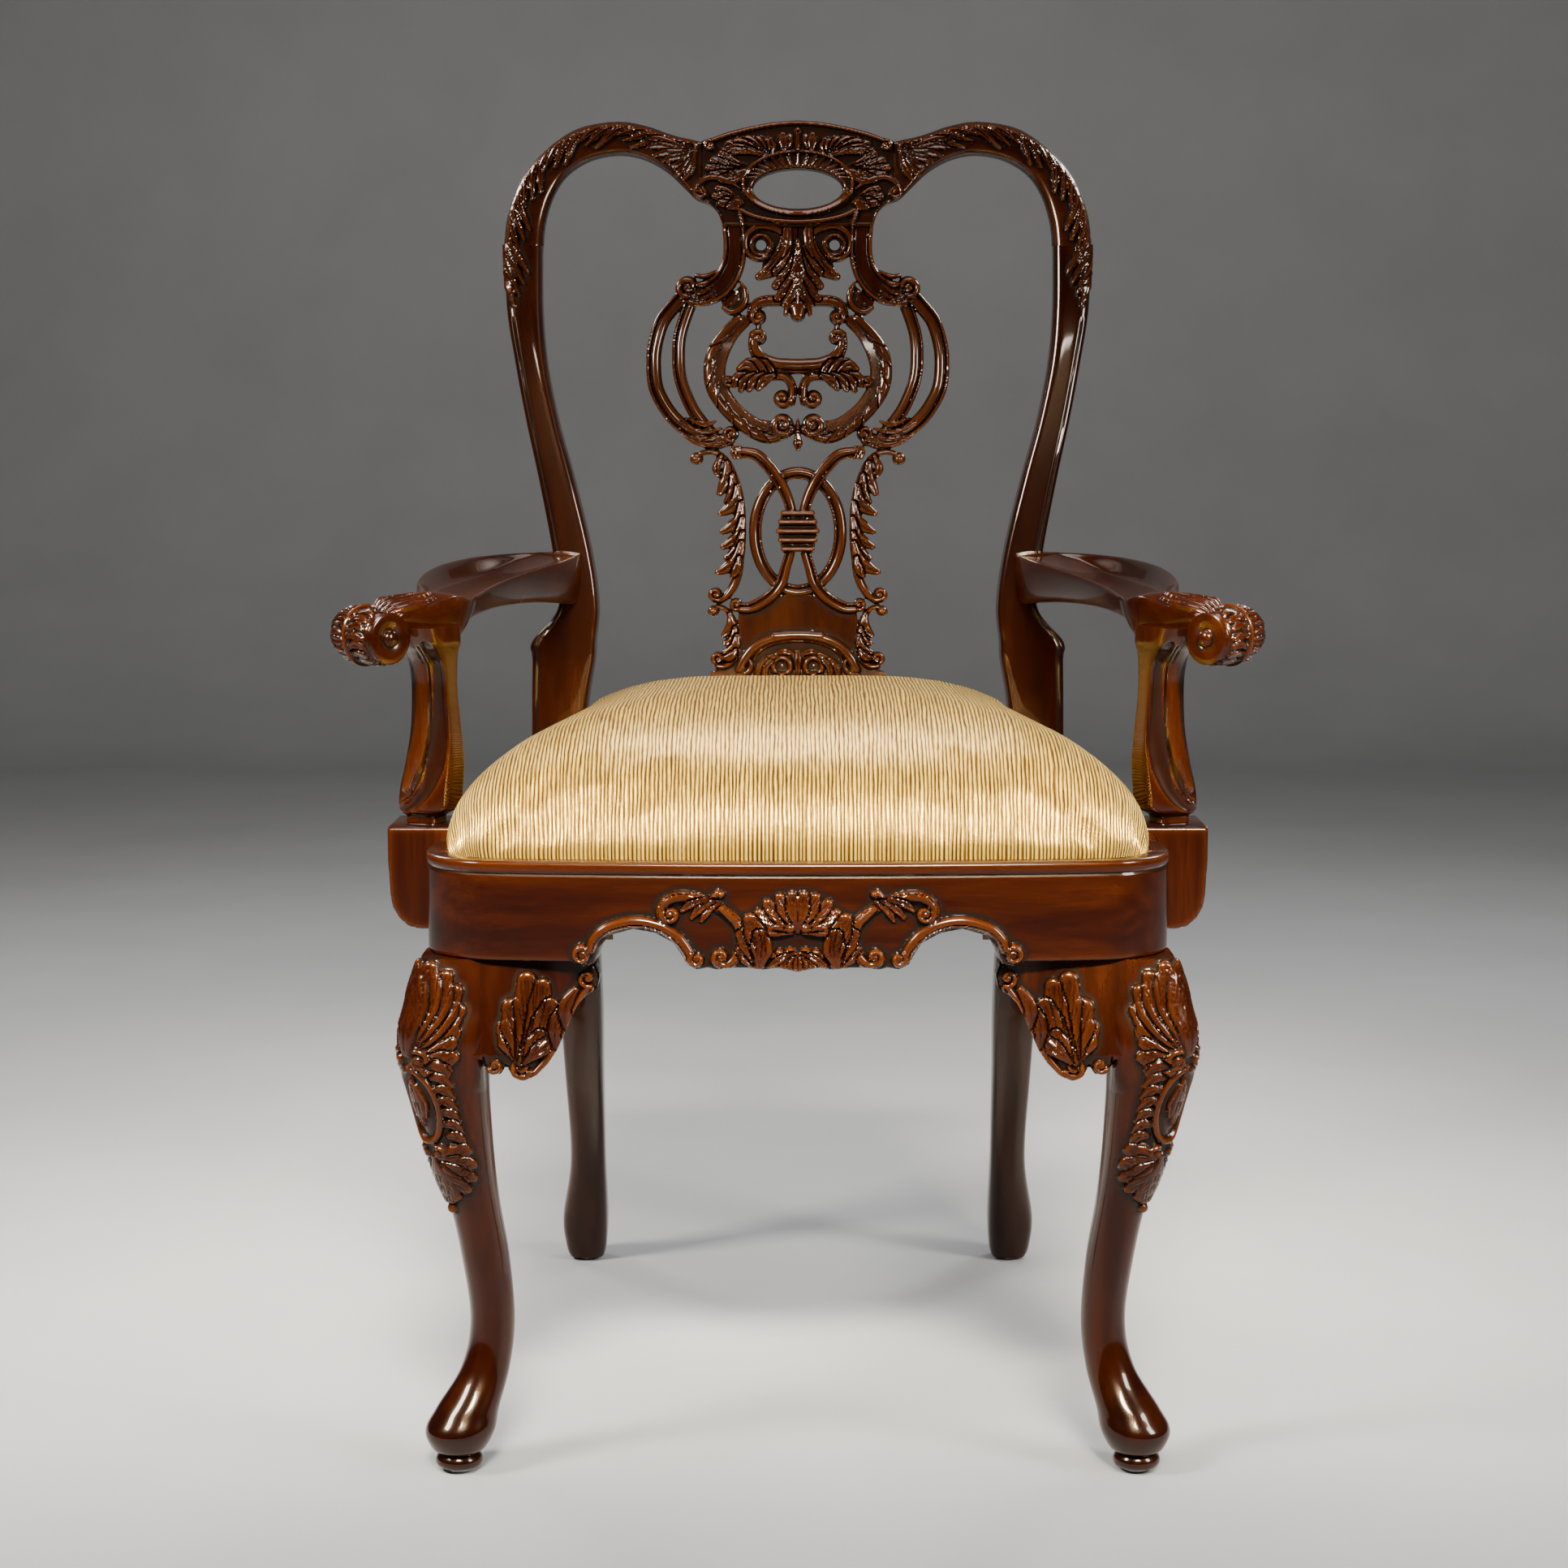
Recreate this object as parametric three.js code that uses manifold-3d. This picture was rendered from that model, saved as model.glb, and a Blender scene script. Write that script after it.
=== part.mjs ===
// A carved mahogany open armchair with a drop-in seat, in millimetres, +Z up, facing -Y.
// "left" is the -X side and "right" the +X side. Pieces are modelled on the right and mirrored.
// Until the last lines Y is measured from the toes of the front feet, back towards the rear legs.
import * as THREE from "three";
import { mergeVertices } from "three/addons/utils/BufferGeometryUtils.js";
import Module from "manifold-3d";

const wasm = await Module();
wasm.setup();

// Driving dimensions.
const GAP = 0.3; // between touching pieces
const CHAIR_TOP = 1009;
const RAIL_TOP = 445;
const RAIL_HEIGHT = 70;
const RAIL_THICKNESS = 34;
const LEDGE_DEPTH = 15; // the rebate that the drop-in seat rests in
const LIP_WIDTH = 14; // the rim left outside that rebate
const MOULDING = 3; // how far the rim's bead stands out from the rail
const MOULDING_HEIGHT = 10;
const CREST_JOINT = 900; // where the rear posts end in the crest rail
const SPLAT_TOP = 917;
const SHOE_TOP = 468;
const RAKE_Y = 490; // front face of the rear posts where the rake starts
const RAKE_Z = 450;
const RAKE = 0.00034; // the back curves away as a parabola, above and below RAKE_Z
const SEAT_REAR = 488; // rear edge of the drop-in seat
const SIDE_JOINT = 135; // where the side rails meet the front rail, behind the arm blocks
const CUSHION_CROWN = 101; // how far it rises over the rails
const CUSHION_EDGE = 8; // how far it rises before it rounds over
const ARM_JOINT = 615; // height of the arm's screw in the rear post
const BLOCK_TOP = 455;

const RAIL_BOTTOM = RAIL_TOP - RAIL_HEIGHT;
const LEDGE = RAIL_TOP - LEDGE_DEPTH;
const COVER_INSET = LIP_WIDTH + 0.6;
const COVER_THICKNESS = 1.2;
const FRAME_INSET = COVER_INSET + COVER_THICKNESS + GAP;
const FRAME_TOP = 446;
const DUST_COVER = 0.7;
const FRAME_BOTTOM = LEDGE + DUST_COVER + 2 * GAP;
const rakeAt = (z) => RAKE_Y + RAKE * (z - RAKE_Z) ** 2;

// Materials: a dark polished mahogany, secondary woods inside the seat, and the cloths.
const finish = (color, roughness) => new THREE.MeshStandardMaterial({ color, roughness, metalness: 0 });
const mahogany = finish(0x4a1f0e, 0.28);
const inside = finish(0x9a7a52, 0.75);
const silk = finish(0xc9a868, 0.55);
const horsehair = finish(0x3a332c, 0.95);
const jute = finish(0xa88c5c, 0.9);
const cambric = finish(0x1c1c1c, 0.95);
const steel = new THREE.MeshStandardMaterial({ color: 0x8d8f92, roughness: 0.35, metalness: 1 });

// Solids and geometries. A solid is a manifold-3d body, which only joins and cuts.
function solid(geometry) {
  const plain = geometry.clone();
  for (const name of Object.keys(plain.attributes)) {
    if (name !== "position") plain.deleteAttribute(name);
  }
  const merged = mergeVertices(plain, 1e-4);
  return new wasm.Manifold(
    new wasm.Mesh({
      numProp: 3,
      vertProperties: new Float32Array(merged.attributes.position.array),
      triVerts: new Uint32Array(merged.index.array),
    }),
  );
}

function geometryOf(body) {
  const mesh = body.getMesh();
  const geometry = new THREE.BufferGeometry();
  const points = new Float32Array(mesh.numVert * 3);
  for (let i = 0; i < mesh.numVert; i++) {
    points.set(mesh.vertProperties.subarray(i * mesh.numProp, i * mesh.numProp + 3), i * 3);
  }
  geometry.setAttribute("position", new THREE.BufferAttribute(points, 3));
  geometry.setIndex(new THREE.BufferAttribute(new Uint32Array(mesh.triVerts), 1));
  return geometry;
}

const join = (first, ...rest) => rest.reduce((made, body) => made.add(body), first);
const cut = (first, ...rest) => rest.reduce((made, body) => made.subtract(body), first);

// Moves every point of a body, such as to bend it, or to mirror it when flip is true.
function moved(body, move, flip = false) {
  const geometry = geometryOf(body);
  const position = geometry.attributes.position;
  const point = new THREE.Vector3();
  for (let i = 0; i < position.count; i++) {
    point.fromBufferAttribute(position, i);
    move(point);
    position.setXYZ(i, point.x, point.y, point.z);
  }
  if (flip) geometry.index.array.reverse();
  return solid(geometry);
}

const mirrored = (body) => moved(body, (p) => (p.x = -p.x), true);
const bothSides = (body) => join(body, mirrored(body));
const raked = (body) => moved(body, (p) => (p.y += rakeAt(p.z)));

function box(x, y, z) {
  const geometry = new THREE.BoxGeometry(x[1] - x[0], y[1] - y[0], z[1] - z[0]);
  geometry.translate((x[0] + x[1]) / 2, (y[0] + y[1]) / 2, (z[0] + z[1]) / 2);
  return solid(geometry);
}

// A box around a tenon, for its mortise.
const mortise = (...sides) => box(...sides.map(([low, high]) => [low - GAP, high + GAP]));

// A revolved profile of [radius, distance] pairs, from start along direction.
function turned(profile, start, direction, sides = 12) {
  const points = profile.map(([r, d]) => new THREE.Vector2(r, d));
  const geometry = new THREE.LatheGeometry(points, sides);
  const turn = new THREE.Quaternion();
  turn.setFromUnitVectors(new THREE.Vector3(0, 1, 0), new THREE.Vector3(...direction).normalize());
  geometry.applyQuaternion(turn);
  geometry.translate(...start);
  return solid(geometry);
}

const rod = (radius, length, start, direction, sides = 12) =>
  turned([[0, 0], [radius, 0], [radius, length], [0, length]], start, direction, sides);

// An outline of [a, b] points, or a Shape, extruded in Z, or in Y when it stands upright.
const outlineOf = (points) => new THREE.Shape(points.map(([a, b]) => new THREE.Vector2(a, b)));

const smoothLine = (points, steps) =>
  new THREE.SplineCurve(points.map(([a, b]) => new THREE.Vector2(a, b))).getPoints(steps);

function prism(shape, z, curveSegments = 12) {
  const depth = z[1] - z[0];
  const geometry = new THREE.ExtrudeGeometry(shape, { depth, bevelEnabled: false, curveSegments });
  geometry.translate(0, 0, z[0]);
  return solid(geometry);
}

function upright(shape, y, bevel = 0, curveSegments = 12) {
  const geometry = new THREE.ExtrudeGeometry(shape, {
    depth: y[1] - y[0] - 2 * bevel,
    bevelEnabled: bevel > 0,
    bevelThickness: bevel,
    bevelSize: bevel,
    bevelOffset: -bevel,
    bevelSegments: 1,
    curveSegments,
  });
  geometry.rotateX(Math.PI / 2);
  geometry.translate(0, y[1] - bevel, 0);
  return solid(geometry);
}

// A closed body through stations: place(u, p, q) puts the unit disc's point (p, q) at u along the body.
function lofted(stations, sides, place) {
  const geometry = new THREE.CylinderGeometry(1, 1, 1, sides, stations - 1);
  const position = geometry.attributes.position;
  for (let i = 0; i < position.count; i++) {
    const at = place(position.getY(i) + 0.5, position.getX(i), -position.getZ(i));
    position.setXYZ(i, at.x, at.y, at.z);
  }
  return solid(geometry);
}

// The unit disc's point pushed out towards a square: power 2 leaves a circle, and more is squarer.
function squared(p, q, power) {
  const radius = Math.hypot(p, q);
  if (radius < 1e-9) return [0, 0];
  const [a, b] = [Math.abs(p / radius), Math.abs(q / radius)];
  const scale = (a ** power + b ** power) ** (-1 / power);
  return [p * scale, q * scale];
}

// Reads a table of stations as smooth curves: table(u) gives every column at u from 0 to 1.
function smooth(rows) {
  const columns = rows[0].map((_, c) => rows.map((row) => row[c]));
  const curves = columns.map((column) => {
    return new THREE.SplineCurve(column.map((v, i) => new THREE.Vector2(i, v)));
  });
  return (u) => curves.map((curve) => curve.getPoint(u).y);
}

// An upright member from rows of [z, x, y, half width, half depth, squareness].
function post(rows, sides, stations, grow = 0, turn = 0) {
  const at = smooth(rows);
  return lofted(stations, sides, (u, p, q) => {
    const [z, x, y, halfX, halfY, power] = at(u);
    const [a, b] = squared(p, q, power);
    const offset = new THREE.Vector2(a * (halfX + grow), b * (halfY + grow));
    offset.rotateAround(new THREE.Vector2(), turn);
    return new THREE.Vector3(x + offset.x, y + offset.y, z);
  });
}

// A flat strap of constant width along a smooth line of [x, z] points, from y[0] to y[1].
function strap(points, width, y, steps = 12) {
  const line = new THREE.SplineCurve(points.map(([x, z]) => new THREE.Vector2(x, z)));
  const sides = [[], []];
  for (let i = 0; i <= steps; i++) {
    const at = line.getPoint(i / steps);
    const along = line.getTangent(i / steps);
    const across = new THREE.Vector2(-along.y, along.x).multiplyScalar(width / 2);
    sides[0].push(at.clone().add(across));
    sides[1].unshift(at.clone().sub(across));
  }
  return upright(new THREE.Shape([...sides[0], ...sides[1]]), y);
}

const disc = (x, z, radius, y, sides = 9) => rod(radius, y[1] - y[0], [x, y[0], z], [0, 1, 0], sides);

// A countersunk screw and the clearance hole that it sits in.
function screw(start, direction, length) {
  const along = new THREE.Vector3(...direction).normalize();
  const hole = [[0, -2], [4.5, -2], [4.5, 0.3], [2.4, 2.6], [2.4, length + 0.6], [0, length + 0.6]];
  return {
    body: turned([[0, 0], [4, 0], [2, 2.4], [2, length - 4], [0, length]], start, along.toArray(), 8),
    hole: turned(hole, start, along.toArray(), 8),
  };
}

// The seat's plan: a slightly bowed front, round front corners, and sides that draw in to the back.
const FRONT_BOW = 12;
const CORNER_RADIUS = 60;
const CORNER_START = 210;
const REAR_HALF_WIDTH = 222;
const bowRadius = (CORNER_START ** 2 + FRONT_BOW ** 2) / (2 * FRONT_BOW);
const bowAngle = Math.asin(CORNER_START / bowRadius);
const corner = {
  x: CORNER_START - CORNER_RADIUS * Math.sin(bowAngle),
  y: CORNER_RADIUS * Math.cos(bowAngle),
};
const planFront = new THREE.EllipseCurve(
  0, bowRadius - FRONT_BOW, bowRadius, bowRadius, -Math.PI / 2, bowAngle - Math.PI / 2);
const planCorner = new THREE.EllipseCurve(
  corner.x, corner.y, CORNER_RADIUS, CORNER_RADIUS, bowAngle - Math.PI / 2, 0);
const planSide = new THREE.CubicBezierCurve(
  new THREE.Vector2(corner.x + CORNER_RADIUS, corner.y),
  new THREE.Vector2(corner.x + CORNER_RADIUS, 130),
  new THREE.Vector2(228, 354),
  new THREE.Vector2(REAR_HALF_WIDTH, RAKE_Y),
);

// Points of the plan from the front's middle round the right side, moved inwards by inset.
function planPoints(inset, rear = RAKE_Y) {
  const points = [];
  for (const [curve, steps] of [[planFront, 4], [planCorner, 6], [planSide, 6]]) {
    for (let i = points.length ? 1 : 0; i <= steps; i++) {
      const at = curve.getPoint(i / steps);
      const along = curve.getTangent(i / steps);
      points.push(new THREE.Vector2(at.x - along.y * inset, at.y + along.x * inset));
    }
  }
  const last = points.at(-1);
  const before = points.at(-2);
  last.x = before.x + ((last.x - before.x) * (rear - before.y)) / (last.y - before.y);
  last.y = rear;
  return points;
}

function planShape(inset, rear) {
  const right = planPoints(inset, rear);
  const left = right.slice(1).reverse().map((p) => new THREE.Vector2(-p.x, p.y));
  return new THREE.Shape([...right, ...left]);
}

const planPrism = (inset, z, rear) => prism(planShape(inset, rear), z);

// Seat rails.
function railRing() {
  const rear = RAKE_Y - GAP;
  const rim = join(
    planPrism(0, [RAIL_BOTTOM - 8, RAIL_TOP], rear),
    planPrism(-MOULDING, [RAIL_TOP - MOULDING_HEIGHT, RAIL_TOP], rear),
  );
  return cut(
    rim,
    planPrism(RAIL_THICKNESS, [RAIL_BOTTOM - 10, RAIL_TOP + 2], rear + 2),
    planPrism(LIP_WIDTH, [LEDGE, RAIL_TOP + 2], rear + 2),
  );
}

const RAIL_TENON = { y: [SIDE_JOINT, SIDE_JOINT + 22], z: [RAIL_BOTTOM + 14, LEDGE - 12], inset: [11, 23] };
const LEG_TENON = { x: 233, y: 29, radius: 11, height: 34 };

// The front rail's elevation: an arch each side of a carved drop in the middle.
function apronShape() {
  const edge = CORNER_START + 80;
  const bottom = RAIL_BOTTOM;
  const drop = bottom - 6;
  const side = (sign) => [
    [154, bottom], [146, bottom + 3], [142, bottom + 13], [130, bottom + 21], [114, bottom + 24],
    [97, bottom + 21], [83, bottom + 11], [76, bottom - 1], [70, drop + 2], [46, drop + 1], [30, drop + 3],
    [16, drop + 1],
  ].map(([x, z]) => [sign * x, z]);
  return outlineOf([
    [edge, bottom], [edge, RAIL_TOP + 10], [-edge, RAIL_TOP + 10], [-edge, bottom],
    ...side(-1), [0, drop], ...side(1).reverse(),
  ]);
}

// A tongue that follows the rail's curve, between two insets of the plan.
function railTongue(grow) {
  const [outer, inner] = RAIL_TENON.inset;
  const z = [RAIL_TENON.z[0] - grow, RAIL_TENON.z[1] + grow];
  const ring = cut(planPrism(outer - grow, z), planPrism(inner + grow, [z[0] - 1, z[1] + 1], RAKE_Y + 5));
  return ring.intersect(box([200, 300], [RAIL_TENON.y[0] - 4, RAIL_TENON.y[1] + grow], [z[0] - 1, z[1] + 1]));
}

function frontSeatRail() {
  const body = railRing()
    .intersect(box([-300, 300], [-40, SIDE_JOINT - GAP / 2], [300, 500]))
    .intersect(upright(apronShape(), [-40, SIDE_JOINT + 5]));
  const legMortise = rod(LEG_TENON.radius + GAP, LEG_TENON.height + 12, [LEG_TENON.x, LEG_TENON.y, RAIL_BOTTOM - 10],
    [0, 0, 1]);
  return cut(join(body, bothSides(railTongue(0))), bothSides(legMortise));
}

const SIDE_TENON = { x: [200, 212], y: [484, 512], z: [RAIL_BOTTOM + 12, LEDGE - 10] };

function sideSeatRail() {
  const body = railRing().intersect(box([100, 300], [SIDE_JOINT + GAP / 2, 600], [RAIL_BOTTOM, 500]));
  const tenon = box(SIDE_TENON.x, SIDE_TENON.y, SIDE_TENON.z);
  return join(cut(body, railTongue(GAP)), tenon);
}

const REAR_RAIL = { y: [478, 518], tenonX: 197, tenonY: [500, 508] };

function rearSeatRail() {
  const half = 187.5;
  const body = cut(
    box([-half, half], REAR_RAIL.y, [RAIL_BOTTOM, RAIL_TOP]),
    box([-half - 1, half + 1], [REAR_RAIL.y[0] - 1, SEAT_REAR + 1], [LEDGE, RAIL_TOP + 1]),
    bothSides(rearPost(GAP)),
  ).decompose()[0];
  const tenon = box([-REAR_RAIL.tenonX, REAR_RAIL.tenonX], REAR_RAIL.tenonY, [RAIL_BOTTOM + 12, LEDGE - 10]);
  return join(body, tenon);
}

// Front leg: [z, x, y, half width, half depth, squareness]. A cabriole turned out on the diagonal.
const LEG_ROWS = [
  [RAIL_BOTTOM - GAP, 238, 33, 26, 26, 4], [345, 243, 30, 28.5, 28.5, 4], [309, 248, 25, 29, 29, 3.5],
  [245, 240, 30, 23, 23, 3], [198, 231.5, 38, 18, 18, 2.6], [151, 224, 45, 17, 17, 2.2],
  [105, 220, 48, 16, 16, 2], [71, 225, 44, 17.5, 17.5, 2], [44, 237, 33, 22.5, 22.5, 2],
  [30, 242, 28, 25, 25, 2], [18, 243, 27, 20, 20, 2], [14, 243, 27, 15, 15, 2],
].reverse();
const FRONT_FOOT = { x: 243, y: 27 };
const GLIDE_HEIGHT = 2.7;

function foot({ x, y }, top) {
  const from = GLIDE_HEIGHT + GAP;
  return turned([[0, 0], [14, 0], [17, 3], [17, 7], [14, 10], [14, top - from], [0, top - from]], [x, y, from],
    [0, 0, 1], 16);
}

function nailHole({ x, y }) {
  return rod(1.6, 20, [x, y, 0], [0, 0, 1], 8);
}

function frontLeg(grow = 0) {
  const shaft = post(LEG_ROWS, 12, 18, grow);
  if (grow) return shaft;
  const tenon = rod(LEG_TENON.radius, LEG_TENON.height + 6, [LEG_TENON.x, LEG_TENON.y, RAIL_BOTTOM - 6], [0, 0, 1]);
  return cut(join(shaft, foot(FRONT_FOOT, 20), tenon), nailHole(FRONT_FOOT));
}

function glide({ x, y }) {
  return turned([[0, 0], [8.5, 0], [9.5, 1], [9.5, GLIDE_HEIGHT], [1.2, GLIDE_HEIGHT], [0, 18]], [x, y, 0],
    [0, 0, 1], 12);
}

// A carved ear under the rail, beside the leg: [distance from the leg's corner, z].
function earShape() {
  const top = RAIL_BOTTOM - GAP;
  const line = new THREE.Shape();
  line.moveTo(225, top);
  line.lineTo(149, top);
  line.bezierCurveTo(138, top, 137, 352, 146, 350);
  line.bezierCurveTo(158, 350, 165, 318, 174, 304);
  line.bezierCurveTo(182, 291, 199, 293, 201, 302);
  line.bezierCurveTo(203, 296, 214, 294, 216, 300);
  line.lineTo(225, 300);
  return line;
}

const EAR = { y: [6, 28] };

function frontKneeBlock() {
  return cut(upright(earShape(), EAR.y, 2, 4), frontLeg(GAP + 0.1));
}

// The same ear turned a quarter round the leg, under the side rail.
function sideKneeBlock() {
  const turnedEar = moved(upright(earShape(), EAR.y, 2, 4), (p) => {
    const [x, y] = [p.x, p.y];
    p.x = 266 - y;
    p.y = 271 - x;
  }, true);
  return cut(turnedEar, frontLeg(GAP + 0.1));
}

// Rear post, leg and stile in one: [z, x, half width, half depth, squareness].
const POST_ROWS = [
  [3, 190, 15, 15, 3], [12, 190.5, 18, 18, 3], [42, 190.5, 20, 20.5, 3.5], [100, 186.5, 15.5, 16, 3.5],
  [180, 188, 17, 17.5, 4], [250, 190, 19, 19, 5], [375, 197.5, 21, 21, 7], [445, 204, 23.5, 21, 8],
  [500, 204.5, 23.5, 20, 8], [545, 201, 26.5, 20, 8], [562, 200.5, 27, 19.5, 8], [592, 188, 17, 19, 7],
  [638, 193.5, 16.5, 18.5, 6], [700, 207, 15.2, 18, 5], [750, 219.5, 13.8, 17, 5], [800, 229.5, 13.8, 16, 4],
  [846, 235.5, 15.5, 15.5, 4], [CREST_JOINT - GAP, 237.5, 16.5, 15, 4],
].map(([z, x, halfX, halfY, power]) => [z, x, rakeAt(z) + halfY, halfX, halfY, power]);
const REAR_FOOT = { x: 190, y: rakeAt(3) + 15 };
const POST_TENON = { x: [230, 245], y: [10, 22], z: [CREST_JOINT - 4, CREST_JOINT + 24] };

function rearPost(grow = 0) {
  const shaft = post(POST_ROWS, 12, 24, grow);
  if (grow) return shaft;
  const tenon = raked(box(POST_TENON.x, POST_TENON.y, POST_TENON.z));
  return cut(
    join(shaft, tenon),
    mortise(SIDE_TENON.x, SIDE_TENON.y, SIDE_TENON.z),
    mortise([170, REAR_RAIL.tenonX], REAR_RAIL.tenonY, [RAIL_BOTTOM + 12, LEDGE - 10]),
    armScrew.hole,
    nailHole(REAR_FOOT),
  );
}

// Crest rail: two round shoulders and a pierced centre, cut flat and then raked.
const CREST_DEPTH = 30;

function crestShape() {
  const half = [
    ...smoothLine([[0, CHAIR_TOP], [45, 1003], [82, 990]], 5),
    ...smoothLine([[82, 990], [112, 999], [150, 1009], [190, 1004], [226, 977.5], [246, 947], [253, 921],
      [254, CREST_JOINT]], 13).slice(1),
    ...smoothLine([[220, CREST_JOINT], [219, 922], [207, 957], [180, 974], [146, 976], [115, 961], [88, 941],
      [66, SPLAT_TOP]], 15),
  ];
  const otherHalf = half.slice(1).reverse().map((p) => new THREE.Vector2(-p.x, p.y));
  const shape = new THREE.Shape([...half, ...otherHalf]);
  const oval = [];
  for (let i = 0; i < 24; i++) {
    const turn = (i / 24) * 2 * Math.PI;
    oval.push(new THREE.Vector2(39 * Math.cos(turn), 950 + 18 * Math.sin(turn)));
  }
  shape.holes.push(new THREE.Path(oval));
  return shape;
}

const SPLAT = { y: [10, 24], tenonX: 50, tenonY: [13, 21], tenonTop: SPLAT_TOP + 9 };

function crestRail() {
  const flat = upright(crestShape(), [0, CREST_DEPTH], 5);
  const splatMortise = mortise([-SPLAT.tenonX, SPLAT.tenonX], SPLAT.tenonY, [SPLAT_TOP - 2, SPLAT.tenonTop]);
  const postMortise = mortise(POST_TENON.x, POST_TENON.y, POST_TENON.z);
  return raked(cut(flat, splatMortise, bothSides(postMortise)));
}

// Splat: pierced strapwork, as straps and scroll ends of [x, z] points on the right half.
function splatHalf() {
  const y = SPLAT.y;
  return join(
    strap([[94, 858], [116, 837], [124, 801], [114, 762], [90, 739], [70, 732], [52, 742]], 12.5, y, 12), // outer ring
    strap([[90, 858], [103, 804], [91, 760], [72, 736]], 10.5, y, 7), // inner ring
    strap([[47, 848], [64, 828], [73, 795], [61, 758], [46, 744], [28, 738], [10, 741]], 14, y, 12), // middle ring
    disc(10, 749, 9, y),
    strap([[36, 826], [42, 812], [36, 800], [22, 795], [-2, 794]], 9, y, 7), // smile-shaped scroll
    disc(35, 825, 6.5, y),
    strap([[10, 853], [34, 852], [43, 843], [37, 833]], 9, y, 6), // bracket over it
    disc(37, 833, 7.5, y, 10),
    strap([[50, 868], [46, 853], [58, 843]], 10, y, 4), // comma
    strap([[56, 916.7], [56, 890], [62, 868], [79, 858], [94, 863]], 19, y, 7), // neck
    disc(94, 864, 9.5, y),
    strap([[30, 915], [42, 909], [43, 896], [34, 890], [24, 898]], 8, y, 7), // curl with an eye
    strap([[20, 916], [24, 903], [20, 888], [36, 875]], 13, y, 5),
    disc(12, 762, 8.5, y, 10),
    strap([[5, 774], [12, 791], [28, 793], [45, 785], [66, 786]], 9, y, 7), // leafy scroll
    strap([[56, 723], [40, 722], [26, 713], [13, 698], [5, 678], [4, 655], [6, 638], [11, 622], [20, 607], [31, 598],
      [44, 592], [56, 592]], 11, y, 14), // ribbon
    disc(54, 592, 7, y, 10),
    strap([[88, 719], [70, 720], [59, 706], [56, 675], [57, 640], [60, 614], [68, 600], [76, 600]], 16, y, 9),
    strap([[74, 588], [62, 577], [60, 560], [64, 545], [73, 536]], 15, y, 6), // lower border
    disc(58, 727, 7, y, 10),
    disc(60, 594, 7, y, 10),
  );
}

function splat() {
  const y = SPLAT.y;
  const thick = y[1] - y[0];
  const oval = cut(
    lofted(2, 28, (u, p, q) => new THREE.Vector3(p * 42, y[0] + u * thick, 655 - q * 56)),
    lofted(2, 28, (u, p, q) => new THREE.Vector3(p * 32, y[0] - 1 + u * (thick + 2), 655 - q * 45)),
  );
  const leaf = outlineOf([[-26, 916.7], [-20, 880], [-17, 856], [-9, 842], [0, 838], [9, 842], [17, 856], [20, 880],
    [26, 916.7]]);
  const panel = outlineOf([[-60, 592], [-30, 601], [0, 599], [30, 601], [60, 592], [60, 535], [74, 532],
    [74, SHOE_TOP - 12], [-74, SHOE_TOP - 12], [-74, 532], [-60, 535]]);
  const scrolls = bothSides(splatHalf()).intersect(box([-140, 140], [0, 40], [500, SPLAT_TOP - GAP]));
  const body = join(
    scrolls,
    oval,
    upright(leaf, y),
    box([-21, 21], y, [636, 673]), // knot
    box([-5, 5], y, [728, 752]), // bud
    upright(panel, y),
    box([-SPLAT.tenonX, SPLAT.tenonX], SPLAT.tenonY, [SPLAT_TOP - 3, SPLAT.tenonTop]),
  );
  return raked(body);
}

function splatShoe() {
  const y = [rakeAt(SHOE_TOP) + 1, rakeAt(SHOE_TOP) + 32];
  const profile = outlineOf([[-88, RAIL_TOP + GAP], [88, RAIL_TOP + GAP], [88, 456], [84, SHOE_TOP], [-84, SHOE_TOP],
    [-88, 456]]);
  const front = Math.max(y[0], SEAT_REAR + 2);
  const groove = [rakeAt(462) + SPLAT.y[0] - 0.2, rakeAt(462) + SPLAT.y[1] + 0.2];
  return cut(upright(profile, [front, y[1]]), mortise([-74.2, 74.2], groove, [SHOE_TOP - 12, SHOE_TOP + 4]));
}

// Arm: [x, y, bottom, top, half width], from the rear post out to the scroll.
const ARM_ROWS = [
  [203, 520, 594, 638, 16], [207, 492, 595, 638, 19], [220, 464, 597, 638, 27], [239, 412, 600, 637, 33],
  [254, 340, 602, 635, 33], [262, 270, 601, 632, 29], [264, 208, 599, 628, 25], [262, 168, 594, 625, 21],
  [265, 138, 590, 622, 18], [277, 117, 588, 620, 18], [303, 96, 584, 616, 19],
];
const ARM_ROLL = { x: 307, y: 88, z: 595, radius: 18.3, half: 24, axis: [0.75, 0.66, 0] };

function armLoft(grow) {
  const at = smooth(ARM_ROWS);
  return lofted(15, 12, (u, p, q) => {
    const [x, y, bottom, top, half] = at(u);
    const [x2, y2] = at(Math.min(1, u + 0.01));
    const [x1, y1] = at(Math.max(0, u - 0.01));
    const along = new THREE.Vector2(x2 - x1, y2 - y1).normalize();
    const [a, b] = squared(p, q, 3.2);
    const across = -a * (half + grow);
    const height = (top - bottom) / 2 + grow;
    return new THREE.Vector3(x + along.y * across, y - along.x * across, (top + bottom) / 2 + b * height);
  });
}

function roll() {
  const { x, y, z, radius, half, axis } = ARM_ROLL;
  const start = [x - axis[0] * half, y - axis[1] * half, z];
  const length = 2 * half;
  const profile = [
    [0, -3], [5, -2], [6.5, 0], [15.5, 0], [radius, 6], [radius, length - 8], [14, length], [0, length],
  ];
  return turned(profile, start, axis, 16);
}

const armScrew = screw([200, 537, ARM_JOINT], [0, -1, 0], 70);
const ARM_TENON = { x: 268, y: 128, radius: 8, z: [590, 609] };

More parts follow.
